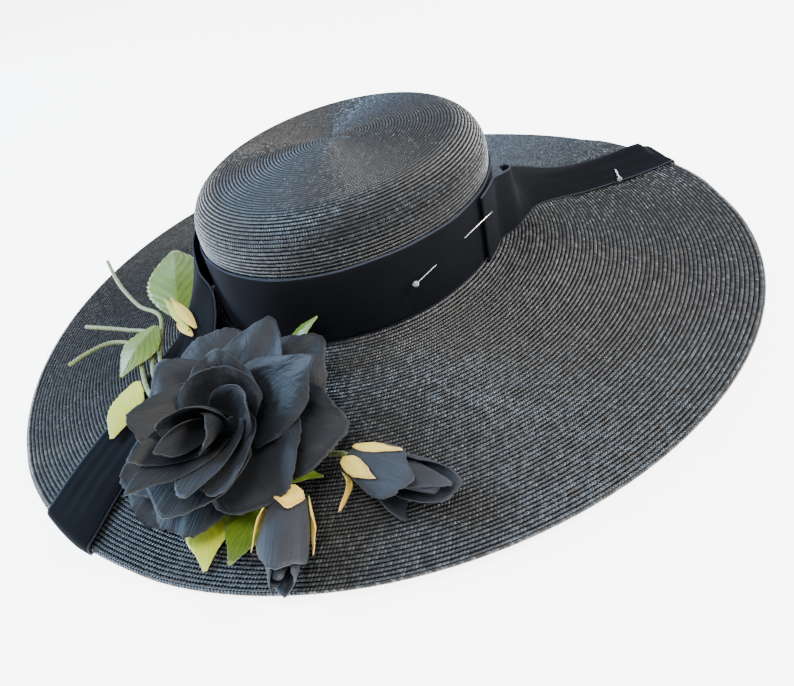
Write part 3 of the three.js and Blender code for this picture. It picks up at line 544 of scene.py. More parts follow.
class Wardrobe:
    """Makes each finish once and dresses pieces in it."""

    def __init__(self) -> None:
        """Starts with no material made."""
        self.made: dict = {}

    def dress(self, piece: Piece, finish: Finish, *nodes: str) -> Piece:
        """Gives a piece its finish, its body and the solids that it stands for.

        Args:
            piece: the new piece.
            finish: what it is made of.
            nodes: the names of the solids that it replaces.

        Returns:
            The same piece.
        """
        if finish not in self.made:
            self.made[finish] = finish.value[0].material()
        piece.data.materials.clear()
        piece.data.materials.append(self.made[finish])
        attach(piece, BODY)
        if nodes:
            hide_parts(*nodes)
        return piece


@dataclass
class StrawBody:
    """The brim and the crown, sewn from braid in rows round ovals that grow from head to edge."""

    head_width: float = 160
    head_length: float = 196
    crown_height: float = 65
    dome: float = 3.5
    shoulder: float = 20
    straw: float = 1.6
    crown_at: tuple = (-14, 7)
    brim_width: float = 404
    brim_length: float = 442
    wave: float = 3.2
    twist: float = 0.4
    wave_bearing: float = 146
    rest: float = 1.2
    ledge: float = 0.6
    row_mm: float = 1.89
    ridge: float = 0.5
    plait_mm: float = 1.45
    around: int = 168
    crown_around: int = 144
    inner_steps: int = 30
    # Where a row of braid is cut across its top and its back, and how far it sinks into the wall
    row_steps: tuple = (0, 0.22, 0.5, 0.78)
    under_steps: tuple = (0.99, 0.5)
    row_power: float = 0.8
    sunk: float = 0.45
    under_ridge: float = 0.4
    # The edge's turns, and where on the last row its map starts and the turn that a row takes
    roll_turns: tuple = (0, 45, 90, 135, 180)
    roll_map: tuple = (0.2, 300)
    # How far a ribbon's end lifts the edge, how many degrees off it that fades, and the share
    # from which and over which the brim rises to it
    edge_raise: float = 1.8
    edge_fade: float = 7
    edge_rises: tuple = (0.45, 0.25)
    wave_power: float = 1.5
    fall_steps: int = 400
    foot_steps: int = 40
    # Between which shares a place is looked for, and how often that span is halved
    shares: tuple = (-0.9, 1.4)
    halvings: int = 26
    # The brim's slope down in degrees at shares of its run
    slopes: tuple = ((0, 24.5), (0.1, 6.2), (0.3, 11.8), (0.6, 5.2), (0.85, -1.3), (1, -7.6))
    falls: list = field(default_factory=list)
    ends: list = field(default_factory=list)
    foot: float = 0.0

    def __post_init__(self) -> None:
        """Works out the run of the brim, its fall and the height of the crown's foot."""
        self.head = (self.head_width / 2, self.head_length / 2)
        self.edge = (self.brim_width / 2, self.brim_length / 2)
        self.run = (sum(self.edge) - sum(self.head)) / 2
        steps = self.fall_steps
        fall = 0.0
        self.falls = [0.0]
        for k in range(steps):
            fall += tan(radians(column(self.slopes, (k + 0.5) / steps))) * self.run / steps
            self.falls.append(fall)
        low = self.wave_bearing + 90
        lowest = min(
            self.waved(k / self.foot_steps, bearing) - self.fall(k / self.foot_steps)
            for k in range(self.foot_steps + 1) for bearing in (low, low + 180)
        )
        self.foot = self.straw - self.rest - lowest

    def oval(self, share: float, bearing: float) -> tuple:
        """Returns x and y of a place, from the crown's foot at share 0 to the edge at share 1."""
        a = radians(bearing)
        return (
            mix(self.crown_at[0] + self.head[0] * cos(a), self.edge[0] * cos(a), share),
            mix(self.crown_at[1] + self.head[1] * sin(a), self.edge[1] * sin(a), share),
        )

    def place(self, x: float, y: float) -> tuple:
        """Returns the share and the bearing of a place on the plan."""
        (low, high), t, dx, dy = self.shares, 0.0, 0.0, 0.0
        for _ in range(self.halvings):
            t = (low + high) / 2
            dx = (x - self.crown_at[0] * (1 - t)) / mix(self.head[0], self.edge[0], t)
            dy = (y - self.crown_at[1] * (1 - t)) / mix(self.head[1], self.edge[1], t)
            if dx * dx + dy * dy > 1:
                low = t
            else:
                high = t
        return t, degrees(atan2(dy, dx))

    def fall(self, share: float) -> float:
        """Returns how far the brim has dropped at a share."""
        spot = clamp(share) * (len(self.falls) - 1)
        k = min(int(spot), len(self.falls) - 2)
        return mix(self.falls[k], self.falls[k + 1], spot - k)

    def waved(self, share: float, bearing: float) -> float:
        """Returns how far the brim swings up or down."""
        swing = self.wave * cos(2 * radians(bearing - self.wave_bearing))
        return clamp(share) ** self.wave_power * (swing + self.twist * sin(3 * radians(bearing)))

    def raised(self, share: float, bearing: float) -> float:
        """Returns how far the brim stands up off a ribbon's end that is turned under it."""
        near = 0.0
        for middle, half in self.ends:
            way = (bearing - middle) % 360
            off = min(way, 360 - way)
            near = max(near, 1 - smooth((off - half) / self.edge_fade))
        start, run = self.edge_rises
        return self.edge_raise * near * smooth((share - start) / run)

    def under(self, share: float, bearing: float) -> float:
        """Returns the height of the brim's underside."""
        free = self.foot - self.straw - self.fall(share) + self.waved(share, bearing)
        return max(0.0, free) + self.raised(share, bearing)

    def top(self, share: float, bearing: float) -> float:
        """Returns the height of the brim's upper side."""
        return self.under(share, bearing) + self.straw

    def top_at(self, x: float, y: float) -> float:
        """Returns the height of the brim's upper side over a place on the plan."""
        return self.top(*self.place(x, y))

    def over(self, share: float, bearing: float, lift: float) -> Vector:
        """Returns the point above the straw by a lift, which is a share of the rose's depth."""
        return Vector((*self.oval(share, bearing), self.top(share, bearing) + lift * ROSE_DEPTH))

    def beside_band(self, out: float) -> float:
        """Returns the share of a place off the band by shares of the rose's depth."""
        return (BAND_OUT + out * ROSE_DEPTH) / self.run

    def beside(self, bearing: float, out: float, z: float) -> Vector:
        """Returns the point at height z that stands out from the crown's wall."""
        a = radians(bearing)
        normal = Vector((cos(a) / self.head[0], sin(a) / self.head[1])).normalized()
        return Vector((
            self.crown_at[0] + self.head[0] * cos(a) + normal.x * out,
            self.crown_at[1] + self.head[1] * sin(a) + normal.y * out,
            z,
        ))

    def ridged(self, share: float) -> float:
        """Returns how far a row of braid stands up at a share of the way across it."""
        return self.ridge * sin(pi * share) ** self.row_power

    def brim(self) -> Piece:
        """Returns the brim: rows on top, a rolled edge, rows beneath and the foot's inner edge."""
        rows = round(self.run / self.row_mm)
        lower = self.ridge * self.sunk
        stations = []
        for k in range(rows):
            stations += [((k + f) / rows, self.ridged(f) - lower, "top", k + f) for f in self.row_steps]
        begin, per_row = self.roll_map
        stations += [(1, turn, "roll", rows + begin + turn / per_row) for turn in self.roll_turns]
        for k in reversed(range(rows)):
            stations += [
                ((k + f) / rows, self.under_ridge * (lower - self.ridged(f)), "under", k + f)
                for f in self.under_steps
            ]
        inner = -(self.straw + self.ledge) / self.run
        stations += [(inner, 0, "under", -1), (inner, 0, "top", -1)]
        last = len(stations)
        stations.append(stations[0])

        def lay(u: float, v: float) -> Vector:
            """Returns the point of a station at a bearing."""
            share, lift, part, _ = stations[round(v * last)]
            bearing = 360 * u
            x, y = self.oval(share, bearing)
            level = max(share, 0.0)
            if part == "top":
                return Vector((x, y, self.top(level, bearing) + lift))
            if part == "under":
                return Vector((x, y, self.under(level, bearing) + max(0.0, lift)))
            a, turn = radians(bearing), radians(lift)
            out = self.straw / 2 * sin(turn)
            z = self.under(1, bearing) + self.straw / 2 * (1 + cos(turn))
            return Vector((x + out * cos(a), y + out * sin(a), z))

        def count(u: float, v: float, _: float, middle: float) -> tuple:
            """Returns the plait and the row at a corner of a cell."""
            here = stations[min(last - 1, int(middle * last))]
            row = floor(here[3])
            size = pi * (sum(self.head) + 2 * self.run * max(0.0, row / rows))
            return u * round(size / self.plait_mm), in_row(stations[round(v * last)][3], row)

        return formed("brim_braid", (self.around, last), lay, count)

    def crown(self) -> Piece:
        """Returns the crown: rows up its wall, over its shoulder and round to its middle."""
        wall = self.crown_height - self.shoulder
        arc = self.shoulder * pi / 2
        flat = (self.head[0] - self.shoulder, self.head[1] - self.shoulder)
        reach = sum(flat) / 2
        length = wall + arc + reach
        rows = round(length / self.row_mm)
        base = self.foot + CLEAR
        lower = self.ridge * self.sunk

        def surface(s: float, inset: float, a: float) -> Vector:
            """Returns the point s along the crown from its foot, set in by inset."""
            middle = self.crown_at
            if s < wall:
                inward, z, share = inset, s, None
            elif s < wall + arc:
                turn = (s - wall) / self.shoulder
                bend = self.shoulder - inset
                inward, z, share = inset + bend * (1 - cos(turn)), wall + bend * sin(turn), None
            else:
                share = max(0.0, 1 - (s - wall - arc) / reach)
                inward, z = 0.0, self.crown_height - inset + self.dome * (1 - share * share)
            if share is None:
                size = (self.head[0] - inward, self.head[1] - inward)
            else:
                size = (share * flat[0], share * flat[1])
            return Vector((middle[0] + size[0] * cos(a), middle[1] + size[1] * sin(a), base + z))

        stations = []
        for k in range(rows):
            stations += [((k + f) * length / rows, lower - self.ridged(f), k + f) for f in self.row_steps]
        stations.append((length, 0.0, rows))
        stations += [
            (length * t / self.inner_steps, self.straw, -2) for t in range(self.inner_steps, -1, -1)
        ]
        last = len(stations)
        stations.append(stations[0])

        def lay(u: float, v: float) -> Vector:
            """Returns the point of a station at a bearing."""
            s, inset, _ = stations[round(v * last)]
            return surface(s, inset, 2 * pi * u)

        def count(u: float, v: float, _: float, middle: float) -> tuple:
            """Returns the plait and the row at a corner of a cell."""
            row = floor(stations[min(last - 1, int(middle * last))][2])
            point = surface(max(0.0, (row + 0.5) * length / rows), 0, 0)
            wider = (self.head[1] - self.head[0]) / 2
            size = pi * 2 * max(2.0, point.x - self.crown_at[0] + wider)
            return u * round(size / self.plait_mm), in_row(stations[round(v * last)][2], row)

        return formed("crown_braid", (self.crown_around, last), lay, count)

    def build(self, wardrobe: Wardrobe) -> None:
        """Makes and dresses the brim and the crown."""
        wardrobe.dress(self.brim(), Finish.STRAW, "brim")
        # The crown takes the darker copy of the straw, painted shade
        wardrobe.dress(self.crown(), Finish.SHADED_CROWN_STRAW, "crown")
        LOG.info("brim and crown")


@dataclass
class Ribbon:
    """The velvet ribbon: a band round the crown and its two ends, laid over the brim's edge."""

    straw: StrawBody
    width: float = 38
    velvet: float = 1.2
    turned: float = 32
    shown: float = 0.8
    # How far the ends stand off the straw and the band, in clearances, and how slack the cloth is
    off_straw: float = 1.6
    off_edge: float = 2
    off_band: float = 4
    slack: float = 0.22
    flutter: float = 0.16
    sway: float = 0.35
    pucker: float = 0.35
    edge_hump: float = 0.35
    edge_tries: int = 8
    end_fade: float = 8
    band_cells: tuple = (220, 14)
    # An end's cells, and where along them it leaves its path, meets the edge and is turned under
    cells: tuple = (96, 16)
    parts: tuple = (0.74, 0.82, 0.92)
    hump_shape: tuple = ((0, 0), (0.25, 0.1), (0.5, 0.55), (0.75, 1), (1, 0.3))
    # share, bearing, lean, wide, hump
    front: tuple = (
        (0, 150, 90, 1, 0), (0, 172, 90, 1, 0), (0.045, 190, 88.5, 1, 0), (0.1, 205, 78, 1, 0),
        (0.2, 217, 52, 1, 0), (0.36, 225.5, 6, 0.98, 0.011), (0.6, 233, 0, 0.88, 0.032),
        (0.93, 241.2, 0, 0.82, 0.042),
    )
    back: tuple = (
        (0, -12, 90, 1, 0), (0, 2, 90, 1, 0), (0.07, 13, 87, 0.95, 0), (0.13, 21, 64, 0.84, 0),
        (0.22, 27.5, 36, 0.8, 0.016), (0.4, 31.5, 16, 0.86, 0.06), (0.65, 34, 4, 0.95, 0.15),
        (0.93, 36, 0, 0.95, 0.21),
    )

    def __post_init__(self) -> None:
        """Tells the straw where the ribbon's ends pass under its edge."""
        radius = sum(self.straw.edge) / 2
        for table in (self.front, self.back):
            half = degrees(0.5 * table[-1][3] * self.width / radius)
            self.straw.ends.append((table[-1][1] + half, half + self.end_fade))

    def band(self) -> Piece:
        """Returns the band, with its faint slack ripples."""
        foot = self.straw.foot + CLEAR
        middle = CLEAR + self.velvet / 2

        def lay(u: float, v: float) -> Vector:
            """Returns the point at a share round the crown and a share up the ribbon."""
            a = 2 * pi * u
            slack = self.slack * sin(7 * a + 4 * v) * sin(pi * v)
            slack = slack + self.flutter * sin(17 * a - 3 * v)
            height = foot + v * self.width + self.sway * sin(5 * a)
            return self.straw.beside(360 * u, middle + slack, height)

        return formed("ribbon_band_velvet", self.band_cells, lay, wall=self.shown)

    def end(self, name: str, table: tuple) -> tuple:
        """Makes one end of the ribbon.

        Args:
            name: the piece's name.
            table: its rows of share, bearing, lean, width and hump.

        Returns:
            The piece and the length of its middle in mm.
        """
        straw = self.straw
        spans = len(table) - 1
        path = Path([Vector(row[:3]) for row in table])
        near = (CLEAR + self.velvet + self.off_band * CLEAR) / straw.run

        def plan(t: float) -> Vector:
            """Returns the lower edge's place on the plan."""
            at = path.at(t)
            return Vector(straw.oval(max(at.x, 0) + near, at.y))

        def between(which: int, t: float) -> float:
            """Returns a column of the table between its rows."""
            k = min(spans - 1, int(t * spans))
            return mix(table[k][which], table[k + 1][which], t * spans - k)

        def ground(p: Vector) -> float:
            """Returns the straw's height under a point on the plan."""
            return straw.top_at(p.x, p.y)

        way = (plan(1) - plan(0.98)).normalized()
        side = Vector((-way.y, way.x))
        tip = plan(1)
        reach = table[-1][3] * self.width
        half = self.velvet / 2

        def edge_step(w: float) -> float:
            """Returns how far the brim's edge lies beyond the last row."""
            start = tip + side * w * reach
            step = 0.0
            for _ in range(self.edge_tries):
                p = start + way * step
                step += (1 - straw.place(p.x, p.y)[0]) * straw.run
            return step

        laid, run_out, roll = self.parts
        cells = self.cells
        steps = [edge_step(k / cells[1]) for k in range(cells[1] + 1)]

        def lay(u: float, v: float) -> Vector:
            """Returns the point at a share along the end and a share across it."""
            rise = column(self.hump_shape, v)
            pucker = self.pucker * sin(9 * pi * v + 3 * u)
            if u <= laid:
                t = u / laid
                p = plan(t)
                d = (plan(min(1, t + 0.01)) - plan(max(0, t - 0.01))).normalized()
                across = Vector((-d.y, d.x))
                lean = radians(clamp(path.at(t).z, 0, 90))
                wide = between(3, t) * self.width * v
                flat, upright = cos(lean), sin(lean)
                spot = p + across * wide * flat
                z = ground(spot) + self.off_straw * CLEAR + between(4, t) * self.width * rise * flat
                z = z + wide * upright + half * flat
                spot = spot - across * half * upright
                return Vector((spot.x, spot.y, z + pucker * flat * smooth(4 * t - 2)))
            start = tip + side * v * reach
            step = steps[round(v * cells[1])]
            hump = table[-1][4] * self.width * rise
            if u <= run_out:
                t = (u - laid) / (run_out - laid)
                p = start + way * step * t
                level = mix(hump, self.edge_hump * hump, smooth(t))
                z = ground(p) + mix(self.off_straw, self.off_edge, t) * CLEAR + level + half
                return Vector((p.x, p.y, z + pucker * (1 - t)))
            p = start + way * step
            bearing = straw.place(p.x, p.y)[1]
            if u <= roll:
                turn = pi * (u - run_out) / (roll - run_out)
                radius = straw.straw / 2 + self.off_edge * CLEAR + half
                out = (radius + self.edge_hump * hump) * sin(turn)
                z = straw.under(1, bearing) + straw.straw / 2 + radius * cos(turn)
                p = p + way * out
                return Vector((p.x, p.y, z + self.edge_hump * hump * max(0.0, cos(turn))))
            t = (u - roll) / (1 - roll)
            p = p - way * t * self.turned
            under = straw.under(*straw.place(p.x, p.y))
            return Vector((p.x, p.y, max(self.shown / 2, under - mix(self.off_edge, 1, t) * CLEAR - half)))

        piece = formed(name, cells, lay, wall=self.shown)
        middle = [lay(k / 200, 0.5) for k in range(201)]
        return piece, sum((b - a).length for a, b in zip(middle, middle[1:]))

    def build(self, wardrobe: Wardrobe) -> None:
        band = wardrobe.dress(self.band(), Finish.VELVET, "ribbon_band")
        middle = CLEAR + self.velvet / 2
        round_mm = sum(
            (self.straw.beside(k + 1, middle, 0) - self.straw.beside(k, middle, 0)).length
            for k in range(360)
        )
        for name, table in (("ribbon_tail_front", self.front), ("ribbon_tail_back", self.back)):
            piece, length = self.end(f"{name}_velvet", table)
            wardrobe.dress(piece, Finish.VELVET, name)
            LOG.info("%s, %.0f mm long", name, length)


@dataclass
class Bloom:
    """Nested surfaces of revolution round a flower's axis, from its heart out, that petals lie on."""

    base: Vector
    axis: Vector
    heart: float
    hub: float
    depth: float
    start: tuple
    end: tuple
    bend: float
    squash: float = 1.0
    nod: float = 0.0
    nod_bearing: float = 0.0
    tall: float = 1.0

    def __post_init__(self) -> None:
        """Works out the turn from upright to the flower's axis."""
        self.turn: Quaternion = Vector((0, 0, 1)).rotation_difference(self.axis.normalized())

    def curve(self, rank: float, s: float) -> tuple:
        """Returns the radius, the height and the angle from the axis, s along a surface."""
        start = radians(mix(self.start[0], self.start[1], rank))
        end = radians(mix(self.end[0], self.end[1], rank))
        rate = (end - start) / self.bend
        angle = start + rate * s
        r = mix(self.heart, self.hub, rank) + (cos(start) - cos(angle)) / rate
        h = mix(self.depth, 0, rank) + (sin(angle) - sin(start)) / rate
        return r, h, angle

    def to_hat(self, r: float, bearing: float, h: float) -> Vector:
        """Returns the point of the hat for a radius, a bearing and a height in the flower."""
        nod = self.nod * max(0.0, h / self.tall) ** 2
        n = radians(self.nod_bearing)
        p = Vector((r * cos(bearing) + nod * cos(n), r * sin(bearing) + nod * sin(n), h))
        p.rotate(self.turn)
        return Vector((p.x, p.y, p.z * self.squash)) + self.base


# How much a petal's corners are cut back and how sharply, where it ends round and to a point
ROUND_TIP = (0.3, 2.2)
POINTED_TIP = (0.55, 1.1)


@dataclass
class Petal:
    """One petal, sepal or bract on a bloom's surface. Sizes are in mm."""

    name: str
    rank: float
    bearing: float
    width: float
    length: float
    point: float
    ruffle: float = 1.0
    curl: float = 0.0
    cells: tuple = (34, 24)
    flare: float = 0.0
    # The root's width and where the petal is widest, as shares, and the most that it wraps round
    root: float = 0.3
    widest: float = 0.7
    most_wrap: float = 2.1
    # How far the edge wanders and frays, as shares of the length, and how deep folds and dents go
    wander: float = 0.03
    fray: float = 0.014
    swells: tuple = (0.9, 0.5, 0.16)
    folded: float = 0.8
    dented: float = 0.5
    level: float = 0.6
    beats: tuple = ((1.2, 2.2), (2.6, 4.2), (6, 9))
    lean: float = 0.6

    def piece(self, bloom: Bloom) -> Piece:
        """Returns the petal, with its soft folds, creases, rolled lip and frayed edge."""
        chance = random.Random(self.name)
        phase = [chance.uniform(0, 2 * pi) for _ in range(8)]
        beats = [chance.uniform(*span) for span in self.beats]
        frayed = [chance.uniform(-1, 1) for _ in range(self.cells[0] + 1)]
        lean = chance.uniform(-self.lean, self.lean)

        def lay(u: float, v: float) -> Vector:
            """Returns the point at a share across the petal and a share along it."""
            side = 2 * u - 1
            short, power = (mix(a, b, self.point) for a, b in zip(ROUND_TIP, POINTED_TIP))
            corner = short * abs(side) ** power
            wander = self.wander * sin(beats[1] * side * 2 + phase[4]) * v**3
            nick = 1 + wander + self.fray * frayed[round(u * self.cells[0])] * v**8
            s = v * self.length * (1 - corner) * nick
            r, h, angle = bloom.curve(self.rank, s)
            spread = mix(self.root, 1, sin(pi / 2 * min(1, v / self.widest)))
            wrap = min(self.most_wrap, self.width / 2 * spread / max(r, 0.5))
            rim = smooth((v - 0.3) / 0.7)
            soft = rim * (
                self.swells[0] * sin(beats[0] * side * 2 + phase[0] + v)
                + self.swells[1] * sin(beats[1] * side * 2 + phase[1] + 2 * v)
                + self.swells[2] * sin(beats[2] * side * 2 + phase[2])
            )
            fold = abs(sin(2.4 * (side + lean * v) + phase[5]))
            dent = abs(sin(3.4 * v - 1.8 * side + phase[3]))
            crease = self.folded * (self.level - fold) + self.dented * (self.level - dent)
            crease = crease * smooth(v / 0.4)
            roll = smooth((v - 0.7) / 0.3) ** 2 * (0.6 + 0.4 * sin(3 * side + phase[6]))
            off = self.ruffle * (soft + crease) + self.curl * roll + self.flare * (v * (1 - corner)) ** 3
            bearing = radians(self.bearing) + side * wrap
            return bloom.to_hat(r + off * cos(angle), bearing, h - off * sin(angle))

        return formed(self.name, self.cells, lay, wall=CLOTH_MM)


@dataclass
class Rose:
    """The open rose, standing against the band at the hat's front."""

    straw: StrawBody
    radius: float = ROSE_RADIUS
    depth: float = ROSE_DEPTH
    hub: float = 13
    heart: float = 1.7
    lean: float = 18
    nod: float = 30
    nod_bearing: float = -84
    bearing: float = -92
    lift: float = 5.5
    layers: int = 16
    crowding: float = 0.85
    off_band: float = 4
    bend: float = 0.9
    heart_stands: float = 0.46
    start: tuple = (30, 60)
    end: tuple = (-24, 98)
    # The core: its foot, its steps, and how many petals' gaps it is set in at sole, foot and top
    core_foot: float = -2
    core_steps: int = 8
    core_gap: float = 0.75
    core_in: tuple = (3, 2.4, 1.2)
    # layer, bearing, width, length, point, ruffle, curl
    petals: tuple = (
        (0, 200, 0.36, 0.4, 0.2, 0.3, 0), (1, 20, 0.46, 0.44, 0.2, 0.3, 0),
        (2, 130, 0.56, 0.48, 0.2, 0.4, 0.3), (3, 205, 0.56, 0.56, 1, 0.5, 0.6),
        (4, 240, 0.6, 0.6, 1, 0.6, 0.8), (5, -60, 0.66, 0.58, 0.8, 0.6, 0.8),
        (6, 42, 0.72, 0.66, 1, 0.7, 1.2), (7, -40, 0.7, 0.62, 0.7, 0.7, 1.4),
        (8, -78, 0.9, 0.62, 0, 0.8, 2.4), (8, 97, 0.8, 0.58, 0.2, 0.8, 1.4),
        (9, 168, 0.8, 0.64, 0.6, 0.9, 1.6), (10, 104, 0.8, 0.7, 0.9, 1, 1.6),
        (11, 42, 0.86, 0.99, 1, 1.2, 1.6), (11, 222, 0.86, 0.62, 0.1, 1.1, 2.4),
        (12, 142, 0.84, 0.78, 0.6, 1.2, 2), (12, -28, 0.9, 0.76, 0, 1.3, 3),
        (13, 84, 0.86, 0.94, 1, 1.3, 1.8), (13, -86, 0.82, 0.69, 0.1, 1.2, 3),
        (14, 2, 0.9, 0.84, 0, 1.3, 2.6), (14.2, 116, 0.84, 0.84, 0.2, 1.4, 2.2),
        (15, -54, 0.76, 0.56, 0.1, 1.1, 1.6), (15.2, 58, 0.86, 0.84, 0.2, 1.3, 2.2),
        (16, -122, 0.9, 0.7, 0.3, 1.1, 2),
    )

    def bloom(self) -> Bloom:
        """Returns the surfaces that the petals lie on."""
        a = radians(self.bearing)
        wall = 1 / hypot(cos(a) / self.straw.head[0], sin(a) / self.straw.head[1])
        out = wall + BAND_OUT + self.radius + self.off_band
        x = self.straw.crown_at[0] + out * cos(a)
        y = self.straw.crown_at[1] + out * sin(a)
        tip = radians(self.lean)
        return Bloom(
            base=Vector((x, y, self.straw.top_at(x, y) + self.lift)),
            axis=Vector((0, -sin(tip), cos(tip))),
            heart=self.heart, hub=self.hub, depth=self.depth,
            start=self.start, end=self.end, bend=self.bend * self.radius, nod=self.nod,
            nod_bearing=self.nod_bearing, tall=self.depth + self.heart_stands * self.radius,
        )

    def build(self, wardrobe: Wardrobe) -> None:
        """Makes and dresses the core and every petal."""
        bloom = self.bloom()
        gap, foot, steps = self.core_gap, self.core_foot, self.core_steps
        sole, low, high = self.core_in
        wall = [
            (mix(self.hub - low * gap, self.heart - high * gap, k / steps), k / steps * self.depth)
            for k in range(steps + 1)
        ]
        profile = [(0, foot), (self.hub - sole * gap, foot), *wall, (0, self.depth + gap)]
        core = turned("rose_core_cloth", CORE_SIDES, profile, bloom.to_hat)
        wardrobe.dress(core, Finish.PETAL, "rose_core")
        for k, (layer, bearing, width, length, point, ruffle, curl) in enumerate(self.petals, 1):
            petal = Petal(
                f"rose_petal_{k:02d}_silk", (layer / self.layers) ** self.crowding, bearing,
                width * self.radius, length * self.radius, point, ruffle, curl,
            )
            wardrobe.dress(petal.piece(bloom), Finish.PETAL, f"rose_petal_{k:02d}")
        LOG.info("rose of %d petals", len(self.petals))


@dataclass
class Bud:
    """A half-open bud: a furled core, petals round it and sepals outside them."""

    name: str
    straw: StrawBody
    foot: tuple
    tip: tuple
    length: float
    width: float
    layers: int
    heart: float
    hub: float
    depth: float
    start: tuple
    end: tuple
    squash: float
    petals: tuple
    sepals: tuple
    core_steps: int = 12
    core_length: float = 0.84
    core_least: float = 0.8
    core_in: float = 1.5
    core_cap: float = 0.6
    curl: float = 0.4
    # How much the petals and the sepals are ruffled, and their cells
    ruffles: tuple = (0.55, 0.5)
    petal_cells: tuple = (26, 18)
    sepal_cells: tuple = (10, 16)

    def bloom(self) -> Bloom:
        """Returns the surfaces that the petals lie on."""
        base = self.straw.over(*self.foot)
        return Bloom(
            base=base, axis=self.straw.over(*self.tip) - base, heart=self.heart * self.width,
            hub=self.hub * self.width, depth=self.depth * self.length, start=self.start, end=self.end,
            bend=self.length, squash=self.squash,
        )

    def leaf(self, row: tuple, name: str, ruffle: float, cells: tuple) -> Petal:
        """Returns the petal or sepal of a row of layer, bearing, width, length, point and flare."""
        layer, bearing, width, length, point, flare = row
        return Petal(
            name, layer / self.layers, bearing, width * self.width, length * self.length, point,
            ruffle, self.curl, cells, flare * self.width,
        )

    def build(self, wardrobe: Wardrobe) -> None:
        """Makes and dresses the core, the petals and the sepals."""
        bloom = self.bloom()
        profile = []
        for k in range(self.core_steps + 1):
            along = k / self.core_steps * self.core_length * self.length
            r, h, _ = bloom.curve(1 / self.layers, along)
            profile.append((max(self.core_least, r - self.core_in), h))
        foot, cap = (0, profile[0][1]), (0, profile[-1][1] + self.core_cap)
        profile = [foot, *profile, cap]
        core = turned(f"{self.name}_core_cloth", CORE_SIDES, profile, bloom.to_hat)
        wardrobe.dress(core, Finish.BUD, f"{self.name}_core")
        rings = (
            ("petal", "silk", Finish.BUD, self.petals, self.ruffles[0], self.petal_cells),
            ("sepal", "cloth", Finish.SEPAL, self.sepals, self.ruffles[1], self.sepal_cells),
        )
        for kind, cloth, finish, rows, ruffle, cells in rings:
            for k, row in enumerate(rows, 1):
                petal = self.leaf(row, f"{self.name}_{kind}_{k}_{cloth}", ruffle, cells)
                wardrobe.dress(petal.piece(bloom), finish, f"{self.name}_{kind}_{k}")
        LOG.info("%s", self.name)


@dataclass
class Foliage:
    """The cloth leaves of the spray, and the loose sepal at its top."""

    straw: StrawBody
    # along, half width of a pointed leaf, half width of a blunt one
    outline: tuple = (
        (0, 0.1, 0.1), (0.2, 0.36, 0.35), (0.42, 0.5, 0.5),
        (0.66, 0.42, 0.52), (0.86, 0.2, 0.38), (1, 0.03, 0.08),
    )
    # How deep the margin's teeth and the pleats between veins are, and how the pleats slant
    tooth: float = 0.07
    pleat: float = 0.008
    pleats: int = 7
    slant: float = 0.45
    across: int = 16
    tooth_rows: int = 6
    fewest_teeth: int = 8
    # name, finish, root, tip, width, bow, fold, blunt, teeth
    leaves: tuple = (
        ("leaf_1", Finish.LEAF, (0.24, -147, 0.237), (0.39, -175, 1.026), 0.607, 0.12, 0.12, 0.9, 16),
        ("leaf_2", Finish.LEAF, (0.335, -141, 0.72), (0.55, -134.5, 0.42), 0.43, 0.1, 0.1, 0.1, 12),
        ("leaf_3", Finish.PALE_LEAF, (0.492, -131, 0.289), (0.69, -120.5, 0.242), 0.304, 0.06, 0.06, 0.4, 13),
        ("leaf_4", Finish.LEAF, (0.64, -93, 0.316), (0.25, -79, 1.158), 0.304, 0.1, 0.1, 0, 12),
        ("leaf_5", Finish.PALE_LEAF, (0.68, -96, 0.074), (0.95, -91, 0.063), 0.357, 0.02, 0.02, 0, 13),
        ("leaf_6", Finish.LEAF, (0.66, -86.5, 0.179), (0.93, -88, 0.168), 0.393, 0.02, 0.03, 0, 13),
        ("leaf_7", Finish.LEAF, (0.6, -88.3, 0.311), (0.62, -78, 0.237), 0.214, 0.06, 0.05, 0, 9),
        ("rose_sepal", Finish.SEPAL, (0.17, -128, 0.621), (0.24, -146, 0.926), 0.116, 0.2, 0.1, 0, 0),
        ("sepal_strip_pale", Finish.PALE_LEAF, (0.2, -130, 0.6), (0.3, -152, 0.75), 0.1, 0.2, 0.1, 0, 0),
        ("sepal_strip_short", Finish.SEPAL, (0.2, -127, 0.55), (0.24, -139, 0.5), 0.09, 0.2, 0.1, 0.6, 0),
    )

    def leaf(self, row: tuple) -> Piece:
        """Returns one leaf, with its saw-toothed margin and the soft pleats between its veins."""
        name, _, root_at, tip_at, share, bow, fold, blunt, teeth = row
        width = share * ROSE_RADIUS
        if name == "leaf_4":
            root_at, tip_at = ((self.straw.beside_band(spot[0]), *spot[1:]) for spot in (root_at, tip_at))
        root, tip = self.straw.over(*root_at), self.straw.over(*tip_at)
        along = tip - root
        side = Vector((along.y, -along.x, 0)).normalized()
        up = side.cross(along).normalized()
        rows = self.tooth_rows * max(teeth, self.fewest_teeth)
        shape = Path([Vector((a, mix(b, c, blunt), 0)) for a, b, c in self.outline])

        def lay(u: float, v: float) -> Vector:
            """Returns the point at a share across the leaf and a share along it."""
            across = 2 * u - 1
            half = max(0.01, shape.at(v).y)
            wide, pleat = across * half, 0.0
            if teeth:
                wide *= 1 + self.tooth * (((v * teeth) % 1) - 0.5) * abs(across) ** 3
                turn = 2 * pi * self.pleats * (v - self.slant * abs(across))
                pleat = self.pleat * sin(turn) * abs(across)
            lift = bow * sin(pi * v) - fold * abs(across) * 2 * half + pleat
            return root + along * v + side * wide * width + up * lift * width

        return formed(f"{name}_cloth", (self.across, rows), lay, wall=CLOTH_MM)

    def build(self, wardrobe: Wardrobe) -> None:
        """Makes and dresses every leaf."""
        for row in self.leaves:
            solids = [row[0]] if row[0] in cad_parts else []
            wardrobe.dress(self.leaf(row), row[1], *solids)
        LOG.info("%d leaves", len(self.leaves))


